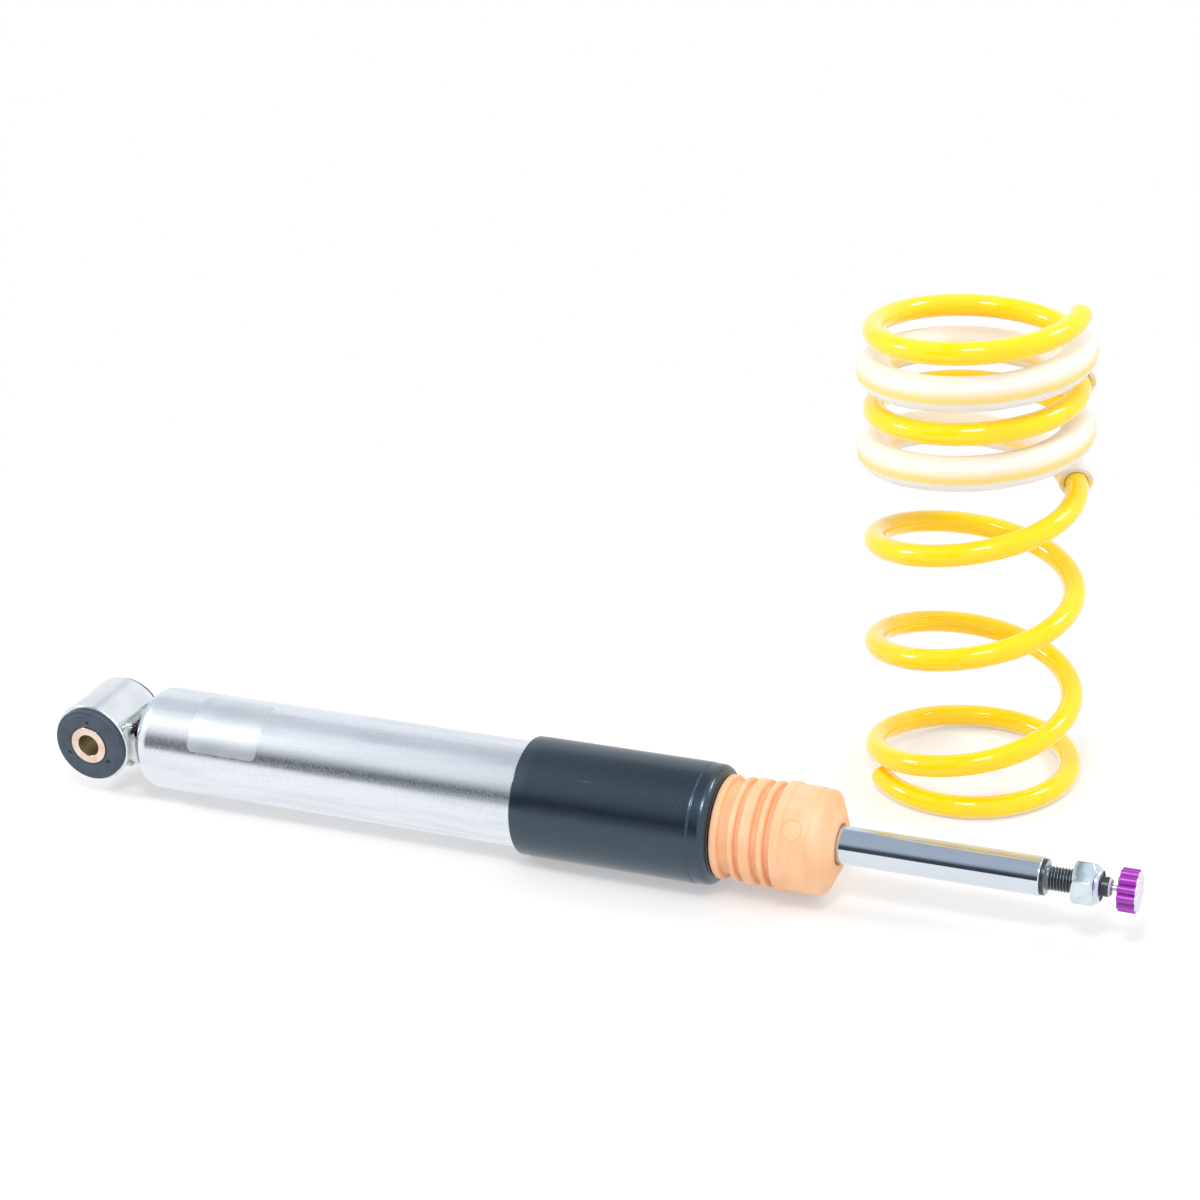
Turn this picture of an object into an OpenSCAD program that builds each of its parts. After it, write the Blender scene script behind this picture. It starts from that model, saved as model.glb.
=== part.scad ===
// Coilover set: a lying twin-tube damper with two adjusters, and its coil spring standing behind it.
// X runs along the damper from the lower eye to the stud, and Z is up.
// The origin is the centre of the lower eye's bolt hole.  All sizes are in millimetres.

/* [Lower eye] */
// Diameter of the bolt hole through the eye
eye_bore_d = 10.4; // [8:0.1:13]
// Outside diameter of the inner steel sleeve
eye_sleeve_d = 17.5; // [15:0.5:20]
// How far the inner sleeve stands out of the rubber at each end
eye_sleeve_proud = 0.2; // [0.1:0.1:1]
// Outside diameter of the eye ring
eye_ring_d = 37; // [34:0.5:44]
// Wall of the eye ring
eye_ring_wall = 3; // [2:0.5:4]
// Width of the eye ring along its hole
eye_ring_w = 31; // [24:1:40]
// Diameter of the rubber flange at each end of the eye
bush_flange_d = 34.6; // [32:0.2:36]
// Thickness of each rubber flange
bush_flange_t = 2.9; // [1.5:0.1:4]
// Number of small dimples in each rubber face
dimple_count = 3; // [2:1:6]
// Distance of the dimples from the hole's axis
dimple_r = 11.6; // [10.5:0.1:13]
// Diameter of one dimple
dimple_d = 1.7; // [1:0.1:2.5]

/* [Neck] */
// Outside diameter of the neck between the eye and the tube
neck_d = 29; // [26:0.5:31]
// Free length of the neck between the eye ring and the tube
neck_len = 6.2; // [5.8:0.1:12]
// Wall of the neck round the compression wheel
neck_wall = 3.5; // [2.5:0.5:4]
// Metal left between the eye ring and the wheel's pocket
neck_web = 0.9; // [0.6:0.1:1.5]
// Height of the milled flat above the damper's axis
neck_flat_z = 8; // [7:0.5:9]
// Height of the window's floor above the damper's axis
window_floor_z = 5; // [3:0.5:6]
// Number of ripples in the weld bead on the neck
weld_ripples = 8; // [4:1:12]
// Radius of one weld ripple
weld_r = 2.3; // [1.5:0.1:3]

/* [Outer tube] */
// Outside diameter of the outer tube
tube_d = 46; // [44:0.5:50]
// Wall of the outer tube
tube_wall = 2; // [1.5:0.25:2.5]
// Radius of the spun shoulder at the closed end
shoulder_r = 8; // [5:0.5:9]
// Diameter of the opening in the rolled lip at the rod end
lip_hole_d = 30; // [26:1:34]
// Thickness of the rolled lip
lip_t = 1.5; // [1:0.25:2.5]

/* [Stroke] */
// Stroke of the rod
stroke = 138; // [100:1:180]
// Gap left between the piston nut and the base valve at full stroke
end_gap = 0.5; // [0.3:0.1:3]
// Gap left between the bump stop and the tube's lip at full stroke
stop_gap = 2; // [1:0.5:6]

/* [Base and base valve] */
// Thickness of the base plug inside the closed end
plug_t = 8; // [6:0.5:12]
// Thickness of the base valve's flange
valve_flange_t = 2; // [1.5:0.5:4]
// Height of the base valve's spigot inside the pressure tube
valve_spigot_t = 5.3; // [4:0.1:8]
// Number of oil ports through the base valve
valve_ports = 6; // [3:1:8]
// Diameter of one oil port in the base valve
valve_port_d = 3; // [2:0.5:4]
// Thickness of one valve shim
shim_t = 0.6; // [0.4:0.1:0.8]
// Radius of the hollow rivet through the base valve
rivet_r = 3.5; // [3:0.1:4]
// Thickness of the rivet's head
rivet_head_t = 1; // [0.6:0.1:2]
// Diameter of the compression needle
valve_needle_d = 4; // [3:0.1:4.4]

/* [Compression wheel] */
// Outside diameter of the compression wheel
wheel_d = 17.5; // [14:0.5:19]
// Thickness of the compression wheel
wheel_t = 3.6; // [3:0.1:4]
// Number of scallops round the compression wheel
wheel_lobes = 12; // [8:1:16]

/* [Pressure tube] */
// Bore of the pressure tube
cylinder_bore = 30; // [28:0.5:32]
// Wall of the pressure tube
cylinder_wall = 2; // [1.25:0.25:2.25]

/* [Rod guide and seal] */
// Depth of the rod guide's spigot inside the pressure tube
guide_spigot_t = 5; // [3:0.5:8]
// Thickness of the rod guide's flange
guide_flange_t = 9; // [7:0.5:14]
// Wall of the guide bush
guide_bush_wall = 1.45; // [1:0.05:2]
// Section diameter of the guide's O-ring
oring_d = 2.4; // [1.8:0.1:3]
// Thickness of the rod seal
seal_t = 5.5; // [4:0.5:8]
// Width of the relief between the two lips of the rod seal
seal_relief = 2; // [1:0.5:2.5]
// Thickness of the washer over the seal
seal_washer_t = 1; // [0.8:0.1:2]

/* [Piston] */
// Thickness of the piston
piston_t = 10; // [8:0.5:14]
// Height of the piston band
piston_band_h = 5.4; // [4:0.2:6]
// Number of oil ports through the piston
piston_ports = 6; // [3:1:8]
// Diameter of one piston port
piston_port_d = 3.5; // [2:0.5:4]
// Number of shims on each side of the piston
piston_shims = 3; // [2:1:4]
// Thickness of one piston shim
piston_shim_t = 0.5; // [0.3:0.1:0.6]
// Height of the piston nut
piston_nut_h = 7; // [5:0.5:9]
// Thickness of the steel collar under the rebound buffer
buffer_plate_t = 2.5; // [2:0.25:3]
// Thickness of the rebound buffer
buffer_t = 4; // [3:0.5:6]

/* [Piston rod] */
// Diameter of the piston rod
rod_d = 16; // [14:0.5:18]
// Length of bare rod between the bump stop and the rod's shoulder
rod_show = 84.2; // [74:0.1:95]
// Diameter of the blackened collar at the rod's shoulder
collar_d = 14.8; // [13:0.1:15.5]
// Length of the blackened collar
collar_len = 1.9; // [1:0.1:4]
// Length of the cone from the collar down to the stud
collar_cone = 1.5; // [1:0.1:3]
// Thread diameter of the stud
stud_d = 10; // [9:0.5:11]
// Lead of the stud's thread
stud_pitch = 1.25; // [1:0.25:1.5]
// Length of the threaded part of the stud
stud_len = 20.4; // [19:0.1:28]
// Diameter of the stud's plain tip
stud_tip_d = 8; // [7:0.1:8.4]
// Length of the stud's plain tip with its chamfer
stud_tip_len = 3.9; // [3:0.1:6]
// Length of the chamfer at the end of the tip
stud_tip_chamfer = 1.3; // [0.5:0.1:1.5]

/* [Rebound adjuster] */
// Diameter of the rebound needle inside the rod
needle_d = 4; // [3:0.1:4.4]
// How far the needle stands out of the stud
needle_proud = 0.3; // [0.2:0.1:1]
// Diameter of the pin that turns with the knob
knob_pin_d = 2.4; // [2:0.1:2.8]
// Length of the pin inside the knob
knob_pin_grip = 3.5; // [2:0.1:4]

/* [Knob] */
// Outside diameter of the rebound knob
knob_d = 17.6; // [16:0.2:22]
// Thickness of the knob
knob_t = 7.9; // [7.5:0.1:12]
// Gap between the stud's end and the knob
knob_gap = 3.4; // [2:0.1:3.8]
// Number of scallops round the knob
knob_lobes = 12; // [8:1:16]
// Bevel at the knob's outer face
knob_bevel = 0.8; // [0.3:0.1:1.5]

/* [Lock nut] */
// Width across the flats of the lock nut
nut_af = 17; // [15:0.5:19]
// Height of the lock nut with its collar
nut_h = 11.2; // [10:0.1:13]
// Height of the lock nut's hexagon
nut_hex_h = 9.2; // [8:0.1:9.6]
// Outside diameter of the lock nut's collar
nut_collar_d = 14.6; // [13.5:0.1:15]
// Distance of the lock nut from the start of the thread
nut_at = 9.3; // [9:0.1:9.5]
// Width of the nylon insert
insert_h = 2.6; // [2:0.1:3]

/* [Bump stop] */
// Length of the bump stop
foam_len = 62; // [56:1:70]
// Diameter of the bump stop's head
head_d = 44.4; // [42:0.2:45]
// Length of the cone at the bump stop's outer end
foam_cone = 5.4; // [4:0.1:8]
// Diameter of the bump stop's outer end face
foam_face_d = 24.5; // [20:0.5:26]
// Diameter at the bottom of the widest grooves
foam_core_d = 40.2; // [38:0.2:41]
// Play of the bump stop on the rod and in the dust sleeve, all round
foam_play = 0.3; // [0.3:0.1:0.6]

/* [Dust sleeve] */
// Length of the dust sleeve
sleeve_len = 88; // [78:0.5:98]
// Wall of the dust sleeve
sleeve_wall = 2.2; // [1.5:0.1:2.5]
// Gap between the dust sleeve and the outer tube, all round
sleeve_play = 0.55; // [0.4:0.05:1]
// Radius of the dust sleeve's rounded end
sleeve_round = 4.2; // [3:0.1:5]
// How far the bump stop reaches inside the dust sleeve
foam_grip = 11.3; // [10:0.1:11.4]

/* [Spring] */
// Wire diameter of the spring
wire_d = 9.7; // [9:0.1:9.8]
// Mean radius of the spring's turns
coil_r = 43; // [42:0.1:52]
// Number of turns, from the top end to the bottom end
spring_turns = 7.42; // [7.3:0.01:7.43]
// Rise of each tight turn at the top
tight_pitch = 17.4; // [17:0.1:22]
// Rise per turn where the spring has opened
open_pitch = 46.6; // [44:0.2:54]
// Rise per turn just before the spring closes
last_pitch = 52.8; // [52.6:0.2:60]
// Turns from the top end to where the spring starts to open
tight_turns = 3.2; // [2.8:0.05:3.4]
// Turns over which the spring opens
opening_turns = 0.8; // [0.6:0.05:1]
// Turns from the top end to where the spring starts to close
closing_from = 6.44; // [6.44:0.02:6.6]
// Turns over which the spring closes
closing_turns = 0.38; // [0.38:0.02:0.6]
// Direction of the top end, in degrees from X
spring_phase = 6; // [-20:1:40]
// Distance of the spring's axis along the damper from the eye
spring_x = 371.5; // [340:0.5:400]
// Distance of the spring's axis behind the damper
spring_y = 124; // [110:0.5:150]

/* [Spring hoses] */
// Outside diameter of the two hoses on the spring
hose_d = 14.8; // [13.8:0.1:16]
// Gap between the wire and a hose, all round
hose_play = 0.35; // [0.3:0.05:0.6]
// Turn at which the upper hose starts
upper_hose_from = 0.96; // [0.5:0.04:1.2]
// Turn at which the lower hose starts
lower_hose_from = 2.96; // [2.8:0.04:3.2]
// Turns that each hose covers
hose_turns = 1; // [0.5:0.25:1.25]

/* [Clearances] */
// Gap between pieces that are pressed, bonded or held together, all round
seat_gap = 0.05; // [0.02:0.01:0.08]
// Gap round shafts and slides that run in a bore
run_gap = 0.05; // [0.02:0.01:0.08]
// Least gap between faces that move apart
face_gap = 0.3; // [0.2:0.05:0.5]

/* [Hidden] */

// Facets of the drawn circles, and a margin by which cuts run past what they cut
$fn = 96;
cut = 1;

// Radii
ring_r = eye_ring_d / 2;
ring_in_r = ring_r - eye_ring_wall;
neck_r = neck_d / 2;
tube_r = tube_d / 2;
tube_in_r = tube_r - tube_wall;
cylinder_in_r = cylinder_bore / 2;
cylinder_r = cylinder_in_r + cylinder_wall;
rod_r = rod_d / 2;
stud_r = stud_d / 2;
tip_r = stud_tip_d / 2;
needle_r = needle_d / 2;
valve_needle_r = valve_needle_d / 2;
sleeve_in_r = tube_r + sleeve_play;
sleeve_r = sleeve_in_r + sleeve_wall;
guide_bore_r = rod_r + run_gap + guide_bush_wall + seat_gap;

// Stations along the damper, from the eye
tube_x = ring_r + neck_len;
pocket_x = ring_r + neck_web;
plug_x = tube_x + tube_wall;
valve_x = plug_x + plug_t;
spigot_x = valve_x + valve_flange_t;
valve_shim_x = spigot_x + valve_spigot_t;
rivet_head_x = valve_shim_x + 2 * shim_t;
valve_top_x = rivet_head_x + rivet_head_t;
tail_x = valve_top_x + end_gap + stroke;
tail_tip = 1;
piston_nut_x = tail_x + tail_tip;
shim_stack_t = piston_shims * piston_shim_t;
piston_x = piston_nut_x + piston_nut_h + shim_stack_t;
rod_x = piston_x + piston_t + shim_stack_t;
buffer_plate_x = rod_x + seat_gap;
buffer_x = buffer_plate_x + buffer_plate_t;
guide_x = buffer_x + buffer_t + face_gap;
guide_flange_x = guide_x + guide_spigot_t;
seal_x = guide_flange_x + guide_flange_t;
washer_x = seal_x + seal_t;
lip_x = washer_x + seal_washer_t;
tube_end_x = lip_x + lip_t;
foam_x = tube_end_x + stroke - rod_show + stop_gap;
sleeve_end_x = foam_x + foam_grip;
sleeve_x = sleeve_end_x - sleeve_len;
foam_end_x = foam_x + foam_len;
shoulder_x = foam_end_x + rod_show;
cone_x = shoulder_x + collar_len;
thread_x = cone_x + collar_cone;
nut_x = thread_x + nut_at;
tip_x = thread_x + stud_len;
stud_end_x = tip_x + stud_tip_len;
knob_x = stud_end_x + knob_gap;

// The floor under the damper's widest piece, which the spring shares
floor_z = -sleeve_r;

// Collar in half section, between two radii and two stations, with rounded outer edges
module collar(r_in, r_out, x0, x1, edge = 0) {
    e = min(edge, 0.49 * (x1 - x0), 0.9 * (r_out - r_in));
    if (e > 0) {
        translate([r_in, x0]) square([r_out - e - r_in, x1 - x0]);
        translate([r_in, x0 + e]) square([r_out - r_in, x1 - x0 - 2 * e]);
        for (x = [x0 + e, x1 - e])
            translate([r_out - e, x]) circle(r = e, $fn = 32);
    } else {
        translate([r_in, x0]) square([r_out - r_in, x1 - x0]);
    }
}

// Round bar in half section whose end at the first station has one rounded corner
module rounded_bar(r, x0, x1, corner) intersection() {
    translate([0, x0]) square([r, x1 - x0]);
    union() {
        translate([0, x0]) square([r - corner, x1 - x0]);
        translate([0, x0 + corner]) square([r, x1 - x0]);
        translate([r - corner, x0 + corner]) circle(r = corner, $fn = 64);
    }
}

// Turns a half section round the X axis, or round the Y axis
module round_x() rotate([0, 90, 0]) rotate_extrude() children();
module round_y() rotate([-90, 0, 0]) rotate_extrude() children();

// Plain cylinder along X between two stations
module bar_x(r, x0, x1) translate([x0, 0, 0]) rotate([0, 90, 0]) cylinder(r = r, h = x1 - x0);

// Copies spaced evenly round the X axis, at one radius
module ring_of(count, radius) {
    for (i = [0 : count - 1])
        rotate([360 * i / count, 0, 0]) translate([0, 0, radius]) children();
}

// Disc along X with a scalloped rim, bevelled towards its outer face
module scalloped_disc(d, lobes, x0, x1, bevel) {
    // Rounded lobes stand out of a plain disc
    lobe_r = d * 0.1;
    intersection() {
        translate([x0, 0, 0]) rotate([0, 90, 0]) linear_extrude(height = x1 - x0) {
            circle(r = d / 2 - lobe_r / 2);
            for (i = [0 : lobes - 1])
                rotate([0, 0, 360 * i / lobes]) translate([d / 2 - lobe_r, 0]) circle(r = lobe_r, $fn = 32);
        }
        round_x() polygon([[0, x0], [d / 2 - bevel / 2, x0], [d / 2 + cut, x0 + bevel / 2 + cut],
            [d / 2 + cut, x1 - bevel - cut], [d / 2 - bevel, x1], [0, x1]]);
    }
}

/* ---------- lower eye ---------- */

module eye_ring() color("silver")
    round_y() collar(ring_in_r, ring_r, -eye_ring_w / 2, eye_ring_w / 2, 0.5);

module bush_rubber() color("#2f3439") difference() {
    hole_r = eye_sleeve_d / 2 + run_gap;
    end_y = eye_ring_w / 2 + bush_flange_t;
    flange_edge = 0.9;
    round_y() {
        collar(hole_r, ring_in_r - seat_gap, -end_y + flange_edge, end_y - flange_edge);
        for (y = [-end_y, eye_ring_w / 2])
            collar(hole_r, bush_flange_d / 2, y, y + bush_flange_t, flange_edge);
    }
    // Moulding dimples in both faces
    first_dimple = 85;
    dimple_depth = 1;
    for (i = [0 : dimple_count - 1], side = [-1, 1])
        rotate([0, -first_dimple - 360 * i / dimple_count, 0])
            translate([dimple_r, side * end_y, 0]) rotate([90, 0, 0])
                cylinder(d = dimple_d, h = 2 * dimple_depth, center = true, $fn = 24);
}

module bush_sleeve() color("#d9a58c") {
    half = eye_ring_w / 2 + bush_flange_t + eye_sleeve_proud;
    bore_r = eye_bore_d / 2;
    chamfer = 0.3;
    round_y() polygon([[bore_r, -half + chamfer], [bore_r + chamfer, -half], [eye_sleeve_d / 2, -half],
        [eye_sleeve_d / 2, half], [bore_r + chamfer, half], [bore_r, half - chamfer]]);
}

/* ---------- neck ---------- */

// Distance from the eye's axis to the ring's surface, at height z
function ring_x(z) = sqrt(pow(ring_r, 2) - pow(z, 2));

// Ripples of a weld bead along Y, in the corner between the ring and the neck's flat
module weld_bead() {
    bead_len = 0.83 * neck_d;
    bead_rise = 0.3;
    step = bead_len / weld_ripples;
    for (i = [0 : weld_ripples - 1])
        translate([ring_x(neck_flat_z), -bead_len / 2 + step * (i + 0.5), neck_flat_z])
            translate([bead_rise, 0, bead_rise]) sphere(r = weld_r, $fn = 32);
}

// One round spot of weld where the neck's underside meets the ring, towards the front
module weld_spot() {
    spot_y = -0.35 * neck_d;
    spot_z = -sqrt(pow(neck_r, 2) - pow(spot_y, 2));
    translate([ring_x(spot_z), spot_y, spot_z]) sphere(r = weld_r, $fn = 32);
}

module eye_neck() color("#c9cdd2") difference() {
    fillet_x = tube_x - seat_gap;
    fillet_r = neck_r + 1.7;
    fillet_len = 2.2;
    fillet_land = 0.6;
    union() {
        difference() {
            // Bar with a weld fillet against the tube
            round_x() polygon([[0, 0], [neck_r, 0], [neck_r, fillet_x - fillet_len],
                [fillet_r, fillet_x - fillet_land], [fillet_r, fillet_x], [neck_r, fillet_x],
                [neck_r, plug_x], [0, plug_x]]);
            // Milled flat and, beyond the web, the open window
            translate([0, -tube_r, neck_flat_z]) cube([tube_x, 2 * tube_r, tube_r]);
            translate([pocket_x, -tube_r, window_floor_z]) cube([tube_x - pocket_x, 2 * tube_r, tube_r]);
        }
        weld_bead();
        weld_spot();
    }
    // Saddle that sits on the ring, and the wheel's pocket
    rotate([90, 0, 0]) cylinder(r = ring_r + seat_gap, h = 2 * tube_d, center = true);
    bar_x(neck_r - neck_wall, pocket_x, plug_x + cut);
}

/* ---------- outer tube and base ---------- */

module outer_tube() color("#c4c8cd") round_x() difference() {
    rounded_bar(tube_r, tube_x, tube_end_x, shoulder_r);
    rounded_bar(tube_in_r, plug_x, lip_x, shoulder_r - tube_wall);
    translate([0, tube_x - cut]) square([neck_r + seat_gap, tube_wall + 2 * cut]);
    translate([0, lip_x - cut]) square([lip_hole_d / 2, lip_t + 2 * cut]);
}

module base_plug() color("slategray") round_x() difference() {
    // A larger corner than the tube's keeps the plug clear of the shoulder
    rounded_bar(tube_in_r - seat_gap, plug_x, valve_x, shoulder_r - tube_wall + seat_gap * 10);
    translate([0, plug_x - cut]) square([valve_needle_r + run_gap, plug_t + 2 * cut]);
}

module base_valve() color("darkgray") difference() {
    round_x() {
        collar(rivet_r + seat_gap, cylinder_r, valve_x, spigot_x);
        collar(rivet_r + seat_gap, cylinder_in_r - seat_gap, spigot_x, valve_shim_x, 0.5);
    }
    port_pcr = (rivet_r + cylinder_in_r) / 2;
    ring_of(valve_ports, port_pcr)
        translate([valve_x - cut, 0, 0]) rotate([0, 90, 0])
            cylinder(d = valve_port_d, h = valve_flange_t + valve_spigot_t + 2 * cut, $fn = 32);
    // Slots under the flange lead the oil to the reserve space
    slot_depth = valve_flange_t / 2;
    ring_of(valve_ports, 0)
        translate([valve_x - cut, -valve_port_d / 2, port_pcr])
            cube([slot_depth + cut, valve_port_d, cylinder_r]);
}

module valve_shims() color("silver") round_x() {
    large = 0.8 * cylinder_in_r;
    small = 0.55 * cylinder_in_r;
    collar(rivet_r + seat_gap, large, valve_shim_x, valve_shim_x + shim_t);
    collar(rivet_r + seat_gap, small, valve_shim_x + shim_t, rivet_head_x);
}

module valve_rivet() color("gold") round_x() {
    head_rim = 1.5;
    collar(valve_needle_r + run_gap, rivet_r, valve_x + valve_flange_t / 2, rivet_head_x);
    collar(valve_needle_r + run_gap, rivet_r + head_rim, rivet_head_x, valve_top_x, 0.4);
}

/* ---------- compression adjuster ---------- */

wheel_x = pocket_x + (tube_x - pocket_x - wheel_t) / 2;

// Radius of the blunt tip of both needles
point_r = 0.4;

module compression_wheel() color("#8a3fa0") difference() {
    scalloped_disc(wheel_d, wheel_lobes, wheel_x, wheel_x + wheel_t, 0.4);
    bar_x(valve_needle_r + seat_gap, wheel_x - cut, wheel_x + wheel_t + cut);
}

module compression_needle() color("lightgray") {
    point = 2;
    round_x() polygon([[0, wheel_x], [valve_needle_r, wheel_x], [valve_needle_r, valve_shim_x - point],
        [point_r, valve_shim_x], [0, valve_shim_x]]);
}

/* ---------- pressure tube, guide and seal ---------- */

module pressure_tube() color("lightsteelblue")
    round_x() collar(cylinder_in_r, cylinder_r, spigot_x, guide_flange_x);

module rod_guide() color("gray") round_x() difference() {
    union() {
        collar(guide_bore_r, cylinder_in_r - seat_gap, guide_x, guide_flange_x);
        collar(guide_bore_r, tube_in_r - seat_gap, guide_flange_x, seal_x, 0.6);
    }
    groove_w = 1.2 * oring_d;
    groove_r = tube_in_r - oring_d - 2 * seat_gap;
    translate([groove_r, oring_x - groove_w / 2]) square([tube_in_r + cut - groove_r, groove_w]);
}

oring_x = guide_flange_x + guide_flange_t / 2;

module guide_oring() color("black")
    round_x() translate([tube_in_r - seat_gap - oring_d / 2, oring_x])
        circle(d = oring_d - seat_gap, $fn = 32);

module guide_bush() color("darkgoldenrod") {
    recess = 0.5;
    round_x() collar(rod_r + run_gap, guide_bore_r - seat_gap, guide_x + recess, seal_x - recess);
}

module rod_seal() color("#22262a") round_x() difference() {
    relief_depth = 1.2;
    collar(rod_r + run_gap, tube_in_r - seat_gap, seal_x, washer_x, 0.5);
    translate([0, seal_x + (seal_t - seal_relief) / 2]) square([rod_r + relief_depth, seal_relief]);
}

module seal_washer() color("silver")
    round_x() collar(rod_r + 1, tube_in_r - seat_gap, washer_x, lip_x, 0.2);

/* ---------- piston rod ---------- */

module piston_rod() color("#c8ced6") {
    bore_r = needle_r + run_gap;
    edge = 0.4;
    chamfer_r = tip_r - stud_tip_chamfer;
    thread_depth = 0.61 * stud_pitch;
    round_x() polygon([[bore_r, tail_x], [stud_r - tail_tip, tail_x], [stud_r, tail_x + tail_tip],
        [stud_r, rod_x], [rod_r, rod_x], [rod_r, shoulder_x - edge], [rod_r - edge, shoulder_x],
        [collar_d / 2, shoulder_x], [collar_d / 2, cone_x], [stud_r, thread_x],
        [stud_r, tip_x - thread_depth], [stud_r - thread_depth, tip_x], [tip_r, tip_x],
        [tip_r, stud_end_x - stud_tip_chamfer], [chamfer_r, stud_end_x], [bore_r, stud_end_x]]);
}

piston_r = cylinder_in_r - 0.4;
band_r = cylinder_in_r - run_gap;
band_depth = 1.3;
piston_band_x = piston_x + (piston_t - piston_band_h) / 2;

module piston() color("darkgray") difference() {
    round_x() difference() {
        collar(stud_r + seat_gap, piston_r, piston_x, piston_x + piston_t, 0.5);
        translate([band_r - band_depth - seat_gap, piston_band_x - seat_gap])
            square([2 * band_depth, piston_band_h + 2 * seat_gap]);
    }
    ring_of(piston_ports, (stud_r + piston_r) / 2)
        translate([piston_x - cut, 0, 0]) rotate([0, 90, 0])
            cylinder(d = piston_port_d, h = piston_t + 2 * cut, $fn = 32);
}

module piston_band() color("#5b4a3a")
    round_x() collar(band_r - band_depth, band_r, piston_band_x, piston_band_x + piston_band_h);

// Shims in a stack that narrows away from the piston; `away` is 1 or -1 along X
module shim_stack(face_x, away) round_x() {
    widest = 0.86 * cylinder_in_r;
    narrowing = 0.12 * cylinder_in_r;
    for (i = [0 : piston_shims - 1]) {
        near_x = face_x + away * i * piston_shim_t;
        far_x = near_x + away * piston_shim_t;
        collar(stud_r + seat_gap, widest - i * narrowing, min(near_x, far_x), max(near_x, far_x));
    }
}

module compression_shims() color("silver") shim_stack(piston_x, -1);
module rebound_shims() color("silver") shim_stack(piston_x + piston_t, 1);

module piston_nut() color("goldenrod") difference() {
    nut_across = 1.7 * stud_d;
    translate([piston_nut_x, 0, 0]) rotate([0, 90, 0])
        cylinder(d = nut_across / cos(30), h = piston_nut_h, $fn = 6);
    bar_x(stud_r + seat_gap, piston_nut_x - cut, piston_nut_x + piston_nut_h + cut);
}

module buffer_plate() color("silver")
    round_x() collar(rod_r + seat_gap, 0.8 * cylinder_in_r, buffer_plate_x, buffer_x, 0.4);

module rebound_buffer() color("#3c3630")
    round_x() collar(rod_r + seat_gap, 0.76 * cylinder_in_r, buffer_x, buffer_x + buffer_t, 1);

/* ---------- rebound adjuster and knob ---------- */

needle_end_x = stud_end_x + needle_proud;

module rebound_needle() color("gainsboro") {
    point = 4;
    edge = 0.3;
    start_x = tail_x + tail_tip;
    pin_r = knob_pin_d / 2;
    pin_end_x = knob_x + knob_pin_grip;
    round_x() polygon([[0, start_x], [point_r, start_x], [needle_r, start_x + point],
        [needle_r, needle_end_x - edge], [needle_r - edge, needle_end_x], [pin_r, needle_end_x],
        [pin_r, pin_end_x - edge], [pin_r - edge, pin_end_x], [0, pin_end_x]]);
}

// The knob can be pushed on until it meets the needle's shoulder, less one face gap
knob_push = knob_gap - needle_proud - face_gap;

module knob() color("#8f3aa8") difference() {
    socket_depth = knob_pin_grip + knob_push + face_gap;
    scalloped_disc(knob_d, knob_lobes, knob_x, knob_x + knob_t, knob_bevel);
    bar_x(knob_pin_d / 2 + run_gap, knob_x - cut, knob_x + socket_depth);
}

/* ---------- lock nut ---------- */

// Wall of the nut's rolled collar, which holds the nylon insert
nut_lip = 1;
insert_r = nut_collar_d / 2 - nut_lip;
insert_x = nut_x + nut_h - nut_lip - insert_h;

module lock_nut() color("#cfd6dc") difference() {
    corner_r = nut_af / 2 / cos(30);
    past_r = corner_r + cut;
    hex_end_x = nut_x + nut_hex_h;
    face_r = nut_af / 2 - 0.5;
    cone = tan(30);
    mouth_play = 0.8;
    union() {
        intersection() {
            translate([nut_x, 0, 0]) rotate([0, 90, 0]) cylinder(r = corner_r, h = nut_hex_h, $fn = 6);
            // Both ends of the hexagon are turned to a cone, the steeper one under the collar
            round_x() polygon([[0, nut_x], [face_r, nut_x], [past_r, nut_x + cone * (past_r - face_r)],
                [past_r, hex_end_x - 1.5 * cone * (past_r - face_r)], [face_r, hex_end_x], [0, hex_end_x]]);
        }
        round_x() collar(0, nut_collar_d / 2, hex_end_x - cut, nut_x + nut_h, nut_lip);
    }
    bar_x(stud_r + run_gap, nut_x - cut, nut_x + nut_h + cut);
    // Pocket of the nylon insert, and the collar's mouth
    bar_x(insert_r, insert_x, insert_x + insert_h);
    bar_x(stud_r + mouth_play, insert_x, nut_x + nut_h + cut);
}

module nut_insert() color("#27455e")
    round_x() collar(stud_r + run_gap, insert_r - run_gap, insert_x + seat_gap,
        insert_x + insert_h - seat_gap, 0.2);

/* ---------- bump stop and dust sleeve ---------- */

// Beads along the bump stop: [start, width, radius over the core], each rounded along its edges
foam_beads = [[11.5, 3.6, 1.9], [19.5, 2.7, 1.8], [24.3, 5.2, 2.1], [32.2, 2.9, 2.2], [37.8, 4.4, 3.0]];
// Distance from the bump stop's foot to its head
head_at = 42;
// Radius of the bump stop's moulded edges
foam_edge = 1.2;

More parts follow.
